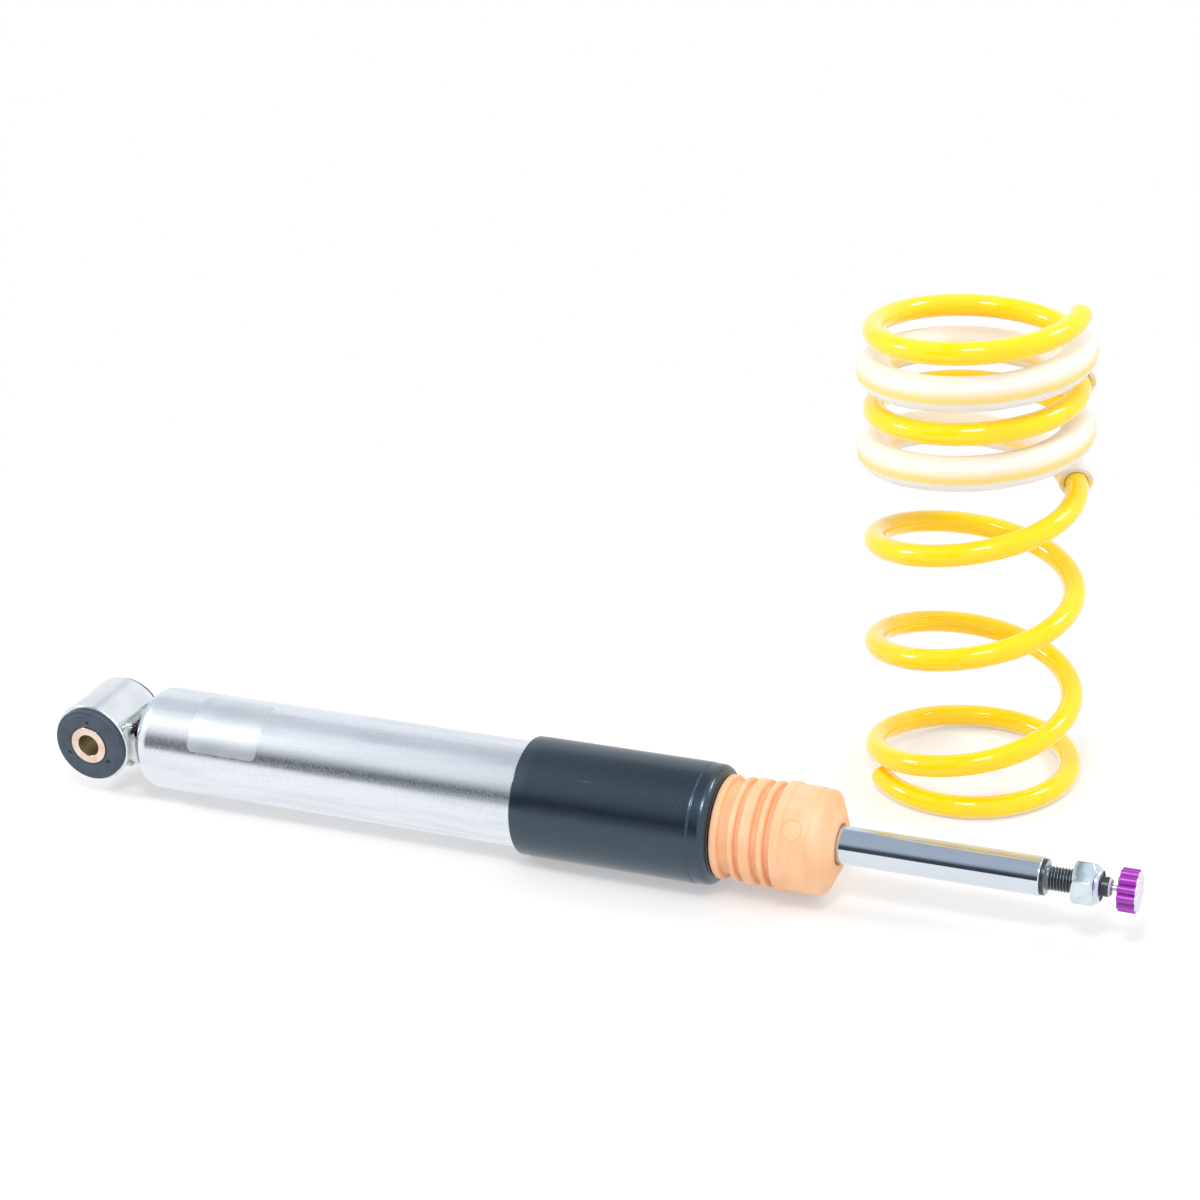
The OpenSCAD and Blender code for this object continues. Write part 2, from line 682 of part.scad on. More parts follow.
module bump_stop() color("#f6c290") round_x() difference() {
    core_r = foam_core_d / 2;
    head_r = head_d / 2;
    head_x = foam_x + head_at;
    cone_start = foam_end_x - foam_cone;
    step_x = cone_start - 3 * foam_edge;
    step = 0.3;
    face_r = foam_face_d / 2;
    face_edge = 0.8;
    union() {
        // Foot inside the sleeve's rounded end, neck in the sleeve's lip, and core
        collar(0, sleeve_in_r - foam_play, foam_x, lip_in_x - seat_gap, sleeve_round - sleeve_wall);
        collar(0, lip_hole_r - seat_gap, lip_in_x - cut, sleeve_end_x + cut);
        collar(0, core_r, sleeve_end_x + seat_gap, head_x + cut);
        for (bead = foam_beads)
            collar(0, core_r + bead[2], foam_x + bead[0], foam_x + bead[0] + bead[1], foam_edge);
        // Head, with a shallow step before its cone
        collar(0, head_r, head_x, step_x, foam_edge);
        collar(0, head_r - step, head_x, cone_start + foam_edge, foam_edge);
        polygon([[0, cone_start], [head_r - step - foam_edge, cone_start + foam_edge],
            [face_r + face_edge, foam_end_x - face_edge], [face_r, foam_end_x], [0, foam_end_x]]);
    }
    bore_r = rod_r + foam_play;
    mouth = 1;
    polygon([[0, foam_x - cut], [bore_r, foam_x - cut], [bore_r, foam_end_x - mouth],
        [bore_r + mouth, foam_end_x], [bore_r + mouth, foam_end_x + cut], [0, foam_end_x + cut]]);
}

lip_in_x = sleeve_end_x - sleeve_wall;
// The bump stop's neck is a little thinner than its core
lip_hole_r = foam_core_d / 2 - 0.4;

module dust_sleeve() color("#1d1f22") {
    // Drawn from its rounded end, then turned round to run back over the tube
    translate([sleeve_end_x, 0, 0]) mirror([1, 0, 0]) round_x() difference() {
        rounded_bar(sleeve_r, 0, sleeve_len, sleeve_round);
        rounded_bar(sleeve_in_r, sleeve_wall, sleeve_len + cut, sleeve_round - sleeve_wall);
        translate([0, -cut]) square([lip_hole_r, sleeve_wall + 2 * cut]);
    }
}

/* ---------- spring ---------- */

// The wire and hoses are wound as rings of six points, sized to the round section's area
sides = 6;
rings_per_turn = 24;
section = sqrt(PI / (sides / 2 * sin(360 / sides)));
wire_r = section * wire_d / 2;
hose_out_r = section * hose_d / 2;
hose_in_r = section * (wire_d / 2 + hose_play);
last_ring = round(spring_turns * rings_per_turn);

// Drop along a stretch whose pitch changes evenly from p0 to p1 between turns a and b
function stretch_drop(n, a, b, p0, p1) = let (s = min(max(n, a), b) - a)
    p0 * s + (p1 - p0) * s * s / (2 * (b - a));
opened = tight_turns + opening_turns;
closed = closing_from + closing_turns;
function drop(n) = stretch_drop(n, 0, tight_turns, tight_pitch, tight_pitch)
    + stretch_drop(n, tight_turns, opened, tight_pitch, open_pitch)
    + stretch_drop(n, opened, closing_from, open_pitch, last_pitch)
    + stretch_drop(n, closing_from, closed, last_pitch, 0);

// Pitch at turn n, from the drop over a short step on both sides
function pitch(n) = (drop(n + 0.001) - drop(n - 0.001)) / 0.002;

// The bottom turn lies flat on the floor, on a flat of its section
foot_z = floor_z + wire_r * cos(180 / sides);
function turn_angle(i) = spring_phase - 360 * i / rings_per_turn;
function centre(i) = let (a = turn_angle(i), n = i / rings_per_turn)
    [spring_x + coil_r * cos(a), spring_y + coil_r * sin(a), foot_z + drop(spring_turns) - drop(n)];

// One ring of a tube of radius r round the wire's centre line, square to the wire
function ring_points(i, r) = let (
        a = turn_angle(i),
        slope = atan(pitch(i / rings_per_turn) / (2 * PI * coil_r)),
        outward = [cos(a), sin(a), 0],
        upward = [-sin(a) * sin(slope), cos(a) * sin(slope), cos(slope)])
    [for (j = [0 : sides - 1]) let (t = 360 * j / sides)
        centre(i) + r * cos(t) * outward + r * sin(t) * upward];

// Triangles of a wall of `count` rings whose first point is number `base`
function wall(count, base) = [for (i = [0 : count - 2], j = [0 : sides - 1])
    let (a = base + i * sides + j, b = base + i * sides + (j + 1) % sides)
    each [[a, b + sides, b], [a, a + sides, b + sides]]];
function reversed(faces) = [for (f = faces) [f[2], f[1], f[0]]];

// Solid tube over rings first to last
module wound_bar(first, last, r) {
    count = last - first + 1;
    end = (count - 1) * sides;
    caps = [for (j = [1 : sides - 2]) each [[0, j, j + 1], [end, end + j + 1, end + j]]];
    polyhedron(points = [for (i = [first : last]) each ring_points(i, r)],
        faces = concat(wall(count, 0), caps));
}

// Hollow tube over rings first to last
module wound_hose(first, last, r_in, r_out) {
    count = last - first + 1;
    inner = count * sides;
    end = (count - 1) * sides;
    rims = [for (j = [0 : sides - 1]) let (k = (j + 1) % sides) each [
        [j, k, inner + j], [k, inner + k, inner + j],
        [end + j, inner + end + j, end + k], [end + k, inner + end + j, inner + end + k]]];
    polyhedron(points = concat([for (i = [first : last]) each ring_points(i, r_out)],
        [for (i = [first : last]) each ring_points(i, r_in)]),
        faces = concat(wall(count, 0), reversed(wall(count, inner)), rims));
}

module coil_spring() color("gold") wound_bar(0, last_ring, wire_r);

hose_rings = round(hose_turns * rings_per_turn);
upper_ring = round(upper_hose_from * rings_per_turn);
lower_ring = round(lower_hose_from * rings_per_turn);

module upper_hose() color("ivory", 0.8)
    wound_hose(upper_ring, upper_ring + hose_rings, hose_in_r, hose_out_r);
module lower_hose() color("ivory", 0.8)
    wound_hose(lower_ring, lower_ring + hose_rings, hose_in_r, hose_out_r);

// Radius of what lies at ring i, and the least gap between turns, measured on the rings' centres
function hosed(i, first) = i >= first && i <= first + hose_rings;
function solid_r(i) = hosed(i, upper_ring) || hosed(i, lower_ring) ? hose_out_r : wire_r;
half_turn = rings_per_turn / 2;
least_gap = min([for (i = [0 : last_ring - half_turn], j = [i + half_turn : last_ring])
    norm(centre(i) - centre(j)) - solid_r(i) - solid_r(j)]);
echo(spring_least_gap_mm = least_gap, spring_height_mm = drop(spring_turns) + 2 * wire_r * cos(180 / sides));

eye_ring();
eye_neck();
bush_rubber();
bush_sleeve();
outer_tube();
base_plug();
base_valve();
valve_shims();
valve_rivet();
compression_needle();
compression_wheel();
pressure_tube();
rod_guide();
guide_bush();
guide_oring();
rod_seal();
seal_washer();
piston_rod();
piston();
piston_band();
compression_shims();
rebound_shims();
piston_nut();
buffer_plate();
rebound_buffer();
rebound_needle();
knob();
lock_nut();
nut_insert();
bump_stop();
dust_sleeve();
coil_spring();
upper_hose();
lower_hose();
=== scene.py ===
"""Looks of the twin-tube damper and its coil spring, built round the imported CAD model.

Sizes are written in millimetres and turned into metres by `mm`. X runs along the damper from
the eye to the knob, Y runs back, and Z is up.
"""
import math

import bpy
from mathutils import Matrix, Vector


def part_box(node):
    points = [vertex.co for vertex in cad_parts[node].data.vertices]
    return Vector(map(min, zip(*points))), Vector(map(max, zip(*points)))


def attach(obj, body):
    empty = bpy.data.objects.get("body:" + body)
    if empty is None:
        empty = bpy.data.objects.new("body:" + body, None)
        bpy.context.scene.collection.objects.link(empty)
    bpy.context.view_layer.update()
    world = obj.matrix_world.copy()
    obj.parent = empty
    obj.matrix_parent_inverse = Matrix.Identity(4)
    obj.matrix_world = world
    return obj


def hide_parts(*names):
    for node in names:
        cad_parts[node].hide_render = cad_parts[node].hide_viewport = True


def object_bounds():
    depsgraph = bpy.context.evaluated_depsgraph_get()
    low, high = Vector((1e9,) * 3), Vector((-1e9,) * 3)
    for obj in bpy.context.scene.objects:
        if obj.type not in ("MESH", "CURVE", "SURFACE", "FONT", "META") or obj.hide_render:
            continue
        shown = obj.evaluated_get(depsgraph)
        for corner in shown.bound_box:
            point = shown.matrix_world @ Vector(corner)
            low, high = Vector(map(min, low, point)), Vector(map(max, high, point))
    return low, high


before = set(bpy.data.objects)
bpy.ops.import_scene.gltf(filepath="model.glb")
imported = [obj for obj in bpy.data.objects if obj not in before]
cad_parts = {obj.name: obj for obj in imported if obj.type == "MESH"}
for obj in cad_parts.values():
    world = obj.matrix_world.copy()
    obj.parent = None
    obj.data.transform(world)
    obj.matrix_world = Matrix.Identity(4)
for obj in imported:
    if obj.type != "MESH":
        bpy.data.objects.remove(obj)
cad_box = [list(corner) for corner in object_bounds()]

mm = 0.001
ALONG_X = (math.pi / 2, 0, math.pi / 2)
ALONG_Y = (math.pi / 2, 0, 0)


def span(node, axis="x"):
    """First and last station of a CAD node along one axis, in millimetres."""
    low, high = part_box(node)
    return getattr(low, axis) / mm, getattr(high, axis) / mm


def top_of(node):
    """Largest radius of a CAD node that is turned round the damper's axis."""
    return span(node, "z")[1]


# ---------------------------------------------------------------- shaping

def alone(piece):
    """Selects one object and nothing else."""
    bpy.ops.object.select_all(action="DESELECT")
    piece.select_set(True)
    bpy.context.view_layer.objects.active = piece


def named(name):
    """Names the primitive that was just added, and puts its place into its mesh."""
    piece = bpy.context.object
    piece.name = piece.data.name = name
    alone(piece)
    bpy.ops.object.transform_apply(location=True, rotation=True, scale=True)
    return piece


# A stretch this much longer than the arc beside it gets one more point, this far from the arc
LONG_STRETCH = 12
NEAR_ARC = 0.3


def softened(corners, count=4):
    """Outline in which each corner (along, radius, rounding) is rounded off by an arc.

    The extra point keeps a long stretch straight when it is shaded smooth.
    """
    points = []
    for index, (along, radius, rounding) in enumerate(corners):
        here = Vector((along, radius))
        if not rounding:
            points.append(here)
            continue
        to_before = Vector(corners[index - 1][:2]) - here
        to_after = Vector(corners[(index + 1) % len(corners)][:2]) - here
        before, after = to_before.normalized(), to_after.normalized()
        half = before.angle(after) / 2
        reach = rounding / math.tan(half)
        centre = here + (before + after).normalized() * rounding / math.sin(half)
        first = here + before * reach - centre
        last = here + after * reach - centre
        start = math.atan2(first.y, first.x)
        turn = (math.atan2(last.y, last.x) - start + math.pi) % math.tau - math.pi
        if to_before.length > reach + LONG_STRETCH:
            points.append(here + before * (reach + NEAR_ARC))
        for step in range(count + 1):
            angle = start + turn * step / count
            points.append(centre + Vector((math.cos(angle), math.sin(angle))) * rounding)
        if to_after.length > reach + LONG_STRETCH:
            points.append(here + after * (reach + NEAR_ARC))
    return points


def turned(name, outline, axis="X", steps=128, smooth=35):
    """A turned piece: its half section is drawn point by point, then spun round the X or Y axis.

    The outline is a list of (along, radius); it is closed unless both its ends lie on the axis.
    """
    along = Vector((1, 0, 0)) if axis == "X" else Vector((0, 1, 0))
    points = [(along * a + Vector((0, 0, r))) * mm for a, r in outline]
    if outline[0][1] > 0 or outline[-1][1] > 0:
        points.append(points[0])
    bpy.ops.mesh.primitive_plane_add(size=mm)
    piece = named(name)
    bpy.ops.object.mode_set(mode="EDIT")
    bpy.ops.mesh.select_mode(type="VERT")
    bpy.ops.mesh.select_all(action="SELECT")
    bpy.ops.mesh.merge(type="CENTER")
    bpy.ops.transform.translate(value=points[0])
    for here, there in zip(points, points[1:]):
        bpy.ops.mesh.extrude_region_move(TRANSFORM_OT_translate={"value": there - here})
    bpy.ops.mesh.select_all(action="SELECT")
    bpy.ops.mesh.remove_doubles(threshold=mm / 1000)
    bpy.ops.mesh.spin(steps=steps, angle=math.tau, center=(0, 0, 0), axis=along)
    bpy.ops.mesh.select_all(action="SELECT")
    bpy.ops.mesh.remove_doubles(threshold=mm / 1000)
    bpy.ops.mesh.normals_make_consistent(inside=False)
    bpy.ops.object.mode_set(mode="OBJECT")
    bpy.ops.object.shade_smooth_by_angle(angle=math.radians(smooth))
    return piece


def apply(piece, kind, **settings):
    """Adds one modifier with its settings, and applies it."""
    alone(piece)
    modifier = piece.modifiers.new(kind, kind)
    for key, value in settings.items():
        setattr(modifier, key, value)
    bpy.ops.object.modifier_apply(modifier=modifier.name)


def carve(piece, tool, operation="DIFFERENCE"):
    """Cuts away, adds or keeps what a tool shape covers, and removes the tool."""
    apply(piece, "BOOLEAN", operation=operation, object=tool, solver="EXACT")
    bpy.data.objects.remove(tool)


def soften_edges(piece, width, angle=40, segments=3):
    """Rounds those edges of a carved piece that are sharper than an angle in degrees."""
    apply(piece, "BEVEL", width=width * mm, segments=segments, limit_method="ANGLE",
          angle_limit=math.radians(angle), harden_normals=False)
    alone(piece)
    bpy.ops.object.shade_smooth_by_angle(angle=math.radians(35))


def block(low, high):
    """A box-shaped cutting tool between two corners."""
    middle = [(a + b) / 2 * mm for a, b in zip(low, high)]
    bpy.ops.mesh.primitive_cube_add(size=1, location=middle)
    bpy.context.object.scale = [(b - a) * mm for a, b in zip(low, high)]
    return named("tool")


def round_bar(radius, low, high, turn=ALONG_X, across=(0, 0), vertices=96, name="tool"):
    """A round piece or cutting tool along X or Y between two stations."""
    middle = (low + high) / 2
    place = (middle, *across) if turn == ALONG_X else (across[0], middle, across[1])
    bpy.ops.mesh.primitive_cylinder_add(vertices=vertices, radius=radius * mm, depth=(high - low) * mm,
                                        location=Vector(place) * mm, rotation=turn)
    return named(name)


def pick_faces(piece, test):
    """Goes to edit mode with those faces selected that pass a test."""
    alone(piece)
    bpy.ops.object.mode_set(mode="EDIT")
    bpy.ops.mesh.select_mode(type="FACE")
    bpy.ops.mesh.select_all(action="DESELECT")
    bpy.ops.object.mode_set(mode="OBJECT")
    for face in piece.data.polygons:
        face.select = test(face)
    bpy.ops.object.mode_set(mode="EDIT")


def fit(piece, body, slot, finish, *stands_for):
    """Gives a piece its finish and its place in the moving assembly."""
    piece.data.materials.clear()
    piece.data.materials.append(finish.material)
    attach(piece, body)
    if stands_for:
        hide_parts(*stands_for)


# ---------------------------------------------------------------- finishes

def shade(code):
    """Linear colour of a hex code."""
    parts = [int(code[i:i + 2], 16) / 255 for i in (0, 2, 4)]
    linear = [((c + 0.055) / 1.055) ** 2.4 if c > 0.04045 else c / 12.92 for c in parts]
    return (*linear, 1.0)


class Value:
    """A changing number, colour or vector of a finish, with arithmetic on it."""

    def __init__(self, nodes, socket):
        self.nodes = nodes
        self.socket = socket

    def maths(self, operation, *numbers):
        return self.nodes.node("ShaderNodeMath", {"operation": operation}, dict(enumerate(numbers)))

    def __add__(self, other):
        return self.maths("ADD", self, other)

    def __radd__(self, other):
        return self.maths("ADD", other, self)

    def __sub__(self, other):
        return self.maths("SUBTRACT", self, other)

    def __rsub__(self, other):
        return self.maths("SUBTRACT", other, self)

    def __mul__(self, other):
        return self.maths("MULTIPLY", self, other)

    def __rmul__(self, other):
        return self.maths("MULTIPLY", other, self)

    def root(self):
        return self.maths("SQRT", self)

    def absolute(self):
        return self.maths("ABSOLUTE", self)

    def above(self, start, end):
        """0 below start, 1 above end, and a smooth rise between them."""
        return self.nodes.node("ShaderNodeMapRange", {"interpolation_type": "SMOOTHSTEP"},
                               {"Value": self, "From Min": start, "From Max": end})

    def between(self, start, full, fading, end):
        """1 from full to fading, 0 below start and above end, and smooth slopes between them."""
        return self.above(start, full) * (1 - self.above(fading, end))


class Nodes:
    """A node tree that is written as expressions."""

    def __init__(self, tree):
        self.tree = tree

    def node(self, kind, settings=None, inputs=None, out=0):
        """Adds a node: its settings first, then its inputs by name or number."""
        node = self.tree.nodes.new(kind)
        for key, value in (settings or {}).items():
            setattr(node, key, value)
        for key, value in (inputs or {}).items():
            if isinstance(value, Value):
                self.tree.links.new(value.socket, node.inputs[key])
            else:
                node.inputs[key].default_value = value
        return Value(self, node.outputs[out])

    def mix(self, mask, low, high):
        """Colour that goes from low to high as the mask goes from 0 to 1."""
        return self.node("ShaderNodeMix", {"data_type": "RGBA"}, {0: mask, 6: low, 7: high}, out=2)


class Finish(Nodes):
    """One material: a Principled shader whose changing inputs are expressions."""

    def __init__(self, name, **constants):
        self.material = bpy.data.materials.new(name)
        self.material.use_nodes = True
        super().__init__(self.material.node_tree)
        self.shader = next(n for n in self.tree.nodes if n.type == "BSDF_PRINCIPLED")
        for key, value in constants.items():
            self.shader.inputs[key.replace("_", " ")].default_value = value
        self.place = self.node("ShaderNodeTexCoord", out="Object")

    def set(self, **values):
        """Links changing values to the shader's sockets."""
        for key, value in values.items():
            self.tree.links.new(value.socket, self.shader.inputs[key.replace("_", " ")])

    def stretched(self, x=1.0, y=1.0, z=1.0):
        """The place with each coordinate times a factor; a small one draws a pattern out."""
        return self.node("ShaderNodeMapping", {}, {"Vector": self.place, "Scale": (x, y, z)})

    def axis(self, name):
        """One coordinate of the place, in millimetres."""
        return self.node("ShaderNodeSeparateXYZ", {}, {0: self.place}, out="XYZ".index(name)) * 1000

    def noise(self, size, detail=2.0, place=None, rough=0.5):
        """Soft random pattern with spots of about this size in millimetres, from 0 to 1."""
        return self.node("ShaderNodeTexNoise", {}, {
            "Vector": place or self.place, "Scale": 1000 / size, "Detail": detail, "Roughness": rough})

    def cells(self, size):
        """Distance from scattered points about this far apart in millimetres, as a share of that."""
        return self.node("ShaderNodeTexVoronoi", {}, {
            "Vector": self.place, "Scale": 1000 / size, "Randomness": 1.0})

    def relief(self, height, depth):
        """Raises the surface by height times depth, in millimetres."""
        bump = self.node("ShaderNodeBump", {}, {
            "Height": height, "Distance": depth * mm, "Strength": 1.0})
        self.set(Normal=bump)


def plated(name, light, dark, polish=0.25, drift=25.0, grain=0.8, relief=0.01, spread=0.15,
           stretch=(1, 1, 1), tint=None):
    """Metal whose tone drifts slowly over the surface, with fine grain in polish and relief."""
    finish = Finish(name, Metallic=1.0)
    cloud = finish.noise(drift, 3)
    fine = finish.noise(grain, 3, finish.stretched(*stretch))
    tone = finish.mix(cloud.above(0.35, 0.65), shade(dark), shade(light))
    if tint:
        patch = finish.noise(drift * 0.4, 2).above(0.5, 0.72)
        tone = finish.mix(patch * 0.5, tone, shade(tint))
    finish.set(Base_Color=tone, Roughness=polish + (fine - 0.5) * spread + cloud * 0.04)
    finish.relief(fine, relief)
    return finish


def moulded(name, light, dark, polish=0.5, drift=12.0, grain=0.5, relief=0.03):
    """Moulded rubber or plastic with a fine grain, slight bloom and small tone changes."""
    finish = Finish(name)
    cloud = finish.noise(drift, 3)
    fine = finish.noise(grain, 2)
    finish.set(Base_Color=finish.mix(cloud.above(0.3, 0.7), shade(dark), shade(light)),
               Roughness=polish + (cloud - 0.5) * 0.12 + (fine - 0.5) * 0.1)
    finish.relief(fine, relief)
    return finish


def tube_finish():
    """Silver tube with a fine speckled grain and faint grey streaks along it."""
    finish = Finish("silver_tube", Metallic=1.0)
    speck = finish.noise(0.9, 3, finish.stretched(1.3, 0.8, 0.8), 0.65)
    streak = finish.noise(5, 3, finish.stretched(0.12, 1, 1))
    tone = finish.mix(streak.above(0.4, 0.7), shade("ecf0f6"), shade("dfe5ec"))
    finish.set(Base_Color=finish.mix(speck.above(0.45, 0.75) * 0.3, tone, shade("c2cad4")),
               Roughness=0.24 + (speck - 0.5) * 0.3 + (streak - 0.5) * 0.06)
    finish.relief(speck, 0.008)
    return finish


def chrome_finish():
    """Ground and hard-chromed steel: nearly a mirror, with very fine grinding lines round it."""
    finish = Finish("hard_chrome", Metallic=1.0)
    lines = finish.noise(0.25, 2, finish.stretched(1, 0.05, 0.05))
    smear = finish.noise(18, 3)
    finish.set(Base_Color=finish.mix(smear, shade("cfd8e2"), shade("e2e8ef")),
               Roughness=0.05 + lines * 0.04 + smear.above(0.55, 0.8) * 0.04)
    finish.relief(lines, 0.00008)
    return finish


def paint_finish():
    """Thick glossy yellow powder coat with a slight orange-peel."""
    finish = Finish("yellow_powder_coat", Coat_Weight=1.0, Coat_Roughness=0.03, IOR=1.5,
                    Specular_IOR_Level=0.1)
    cloud = finish.noise(22, 2)
    peel = finish.noise(2.2, 2)
    mark = finish.cells(9).above(0.05, 0.02)
    tone = finish.mix(cloud, shade("ffcf02"), shade("ffd604"))
    finish.set(Base_Color=finish.mix(mark * 0.25, tone, shade("f0b600")),
               Roughness=0.16 + (peel - 0.5) * 0.08)
    finish.relief(peel, 0.012)
    return finish


def hose_finish():
    """Milky hose over a yellow wire; where the wire shows through along the side it is painted on, as a
    yellow band with a cream fringe.

    The attribute `underside` is -1 on top of the hose, 0 at its sides and 1 underneath.
    """
    finish = Finish("milky_hose", IOR=1.42, Subsurface_Weight=0.35, Subsurface_Scale=0.004,
                    Subsurface_Radius=(1.0, 0.8, 0.5), Specular_IOR_Level=0.4)
    low = finish.node("ShaderNodeAttribute", {"attribute_name": "underside"}, out="Fac")
    waver = finish.noise(9, 2)
    level = low + (waver - 0.5) * 0.12
    # Painted see-through of the wire: a cream fringe and a yellow band along the side, set by height on the
    # hose
    painted_cream_fringe = level.between(-0.75, -0.15, 0.2, 0.45)
    wire = level.between(-0.35, 0.02, 0.16, 0.34)
    haze = finish.mix(painted_cream_fringe * 0.8, shade("e9e3dd"), shade("ebd6b2"))
    finish.set(Base_Color=finish.mix(wire * 0.65, haze, shade("fbcf50")),
               Roughness=0.4 + (waver - 0.5) * 0.1)
    finish.relief(finish.noise(1.5, 2), 0.02)
    return finish


def foam_finish(marks):
    """Peach-coloured closed foam with a moulded skin, a few pores and shallow rings left by its mould.

    Each mark is its station along X, its angle from the top towards the front, and its radius.
    """
    finish = Finish("peach_foam", Subsurface_Weight=0.06, Subsurface_Scale=0.002,
                    Subsurface_Radius=(1.0, 0.45, 0.25), Specular_IOR_Level=0.45)
    cloud = finish.noise(14, 3)
    skin = finish.noise(0.7, 3)
    pore = finish.cells(2.6).above(0.16, 0.05)
    x, y, z = (finish.axis(name) for name in "XYZ")
    rings = 0
    for station, degrees, radius in marks:
        turn = math.radians(degrees)
        outward = z * math.cos(turn) - y * math.sin(turn)
        sideways = y * math.cos(turn) + z * math.sin(turn)
        forward = x - station
        apart = (forward * forward + sideways * sideways).root()
        rings = rings + (apart - radius).absolute().above(0.5, 0.1) * outward.above(0, 1)
    tone = finish.mix(cloud.above(0.3, 0.7), shade("eeb585"), shade("f5c299"))
    finish.set(Base_Color=finish.mix(pore * 0.3 + rings * 0.35, tone, shade("d99560")),
               Roughness=0.5 + (skin - 0.5) * 0.2)
    finish.relief(skin * 0.25 - pore * 0.5 - rings, 0.1)
    return finish


def sleeve_finish():
    """Satin black moulding with a fine leathery grain and a few pale scuffs."""
    finish = Finish("satin_black_moulding", IOR=1.62, Specular_IOR_Level=1.0,
                    Specular_Tint=(0.55, 0.78, 1.0, 1.0))
    cloud = finish.noise(16, 3)
    grain = finish.noise(0.8, 3, rough=0.6)
    scuff = finish.noise(3.5, 3, finish.stretched(0.25, 1, 1)).above(0.66, 0.8)
    tone = finish.mix(cloud, shade("07090b"), shade("0d1013"))
    finish.set(Base_Color=finish.mix(scuff * 0.15, tone, shade("3c4650")),
               Roughness=0.26 + (grain - 0.5) * 0.2 + scuff * 0.1)
    finish.relief(grain, 0.008)
    return finish


def anodised_finish(name, light, dark, bare_from=None):
    """Anodised aluminium; faces past a station along X are bare turned metal."""
    finish = Finish(name, Metallic=1.0)
    cloud = finish.noise(4, 2)
    fine = finish.noise(0.3, 2, finish.stretched(1, 0.2, 0.2))
    tone = finish.mix(cloud, shade(dark), shade(light))
    polish = 0.42 + (fine - 0.5) * 0.12
    if bare_from is not None:
        bare = finish.axis("X").above(bare_from, bare_from + 0.05)
        tone = finish.mix(bare, tone, shade("eee8f5"))
        polish = polish + bare * 0.16
    finish.set(Base_Color=tone, Roughness=polish)
    finish.relief(fine, 0.001)
    return finish


def coppered_finish(bore):
    """Pale coppered steel whose bore, up to a radius round the Y axis, is dull and darker."""
    finish = Finish("coppered_sleeve", Metallic=1.0)
    cloud = finish.noise(5, 3)
    fine = finish.noise(0.4, 3)
    x, z = finish.axis("X"), finish.axis("Z")
    inside = (x * x + z * z).root().above(bore + 0.15, bore)
    tone = finish.mix(cloud.above(0.35, 0.65), shade("ebcdbb"), shade("f7e0d2"))
    finish.set(Base_Color=finish.mix(inside, tone, shade("d3c9ac")),
               Roughness=0.26 + (fine - 0.5) * 0.15 + inside * 0.15)
    finish.relief(fine, 0.006)
    return finish


def stud_finish(face, chamfer, inner, crest):
    """Blackened steel, bare on the tip's chamfer and, partly, on the crests; the collar's face is painted
    pale as a painted reflection.

    The chamfer begins at a station along X and ends at an inner radius.
    """
    finish = Finish("blackened_stud", Metallic=1.0)
    cloud = finish.noise(5, 3)
    fine = finish.noise(0.4, 3)
    x, y, z = (finish.axis(name) for name in "XYZ")
    radius = (y * y + z * z).root()
    rubbed = radius.between(crest - 0.5, crest - 0.05, crest + 0.2, crest + 0.4)
    # Painted reflection: the collar's face is painted pale, as if it caught the light
    painted_collar_reflection = (x - face).absolute().above(0.3, 0.15) * radius.above(crest + 0.1, crest + 0.3)
    tip = x.above(chamfer, chamfer + 0.1) * radius.above(inner - 0.1, inner)
    tone = finish.mix(cloud.above(0.35, 0.65), shade("474d52"), shade("555c61"))
    tone = finish.mix(rubbed * 0.6, tone, shade("8d959b"))
    tone = finish.mix(painted_collar_reflection * 0.8, tone, shade("c8cfd2"))
    finish.set(Base_Color=finish.mix(tip, tone, shade("dfe3e6")), Metallic=1 - tip * 0.8,
               Roughness=0.36 + (fine - 0.5) * 0.15)
    finish.relief(fine, 0.008)
    return finish


galvanised = plated("galvanised_ring", "eef2f4", "dfe4e9", polish=0.17, grain=1.1, relief=0.002, spread=0.05)
neck_zinc = plated("zinc_plated_neck", "dfe3e4", "c3cac8", polish=0.3, drift=9, grain=0.7, relief=0.03,
                   tint="d2dccd")
weld_zinc = plated("zinc_plated_weld", "d4d9d6", "a9b3ae", polish=0.26, drift=4, grain=0.8, relief=0.05,
                   tint="c9d3bd")
bright_zinc = plated("bright_zinc_nut", "e2ecf2", "cbdce4", polish=0.16, drift=8, grain=0.7, relief=0.008)
bright_steel = plated("bright_steel", "b9bdc2", "a2a6ab", polish=0.22, grain=0.3, relief=0.005)
foil = plated("bare_foil", "e3e8ec", "d8dee3", polish=0.36, drift=18, grain=1.5, relief=0.004, spread=0.08)
silver_tube = tube_finish()
chrome = chrome_finish()
yellow_paint = paint_finish()
milky_hose = hose_finish()
satin_black = sleeve_finish()
slate_rubber = moulded("slate_rubber", "3f4c5b", "32404d", polish=0.5, drift=7, grain=0.5, relief=0.03)
seal_rubber = moulded("black_seal_rubber", "2a2d31", "1e2023", polish=0.45)
navy_nylon = moulded("navy_nylon", "24476b", "17324f", polish=0.35, grain=0.3, relief=0.01)
band_plastic = moulded("bronze_filled_band", "6b5640", "4d3d2d", polish=0.4, grain=0.3)

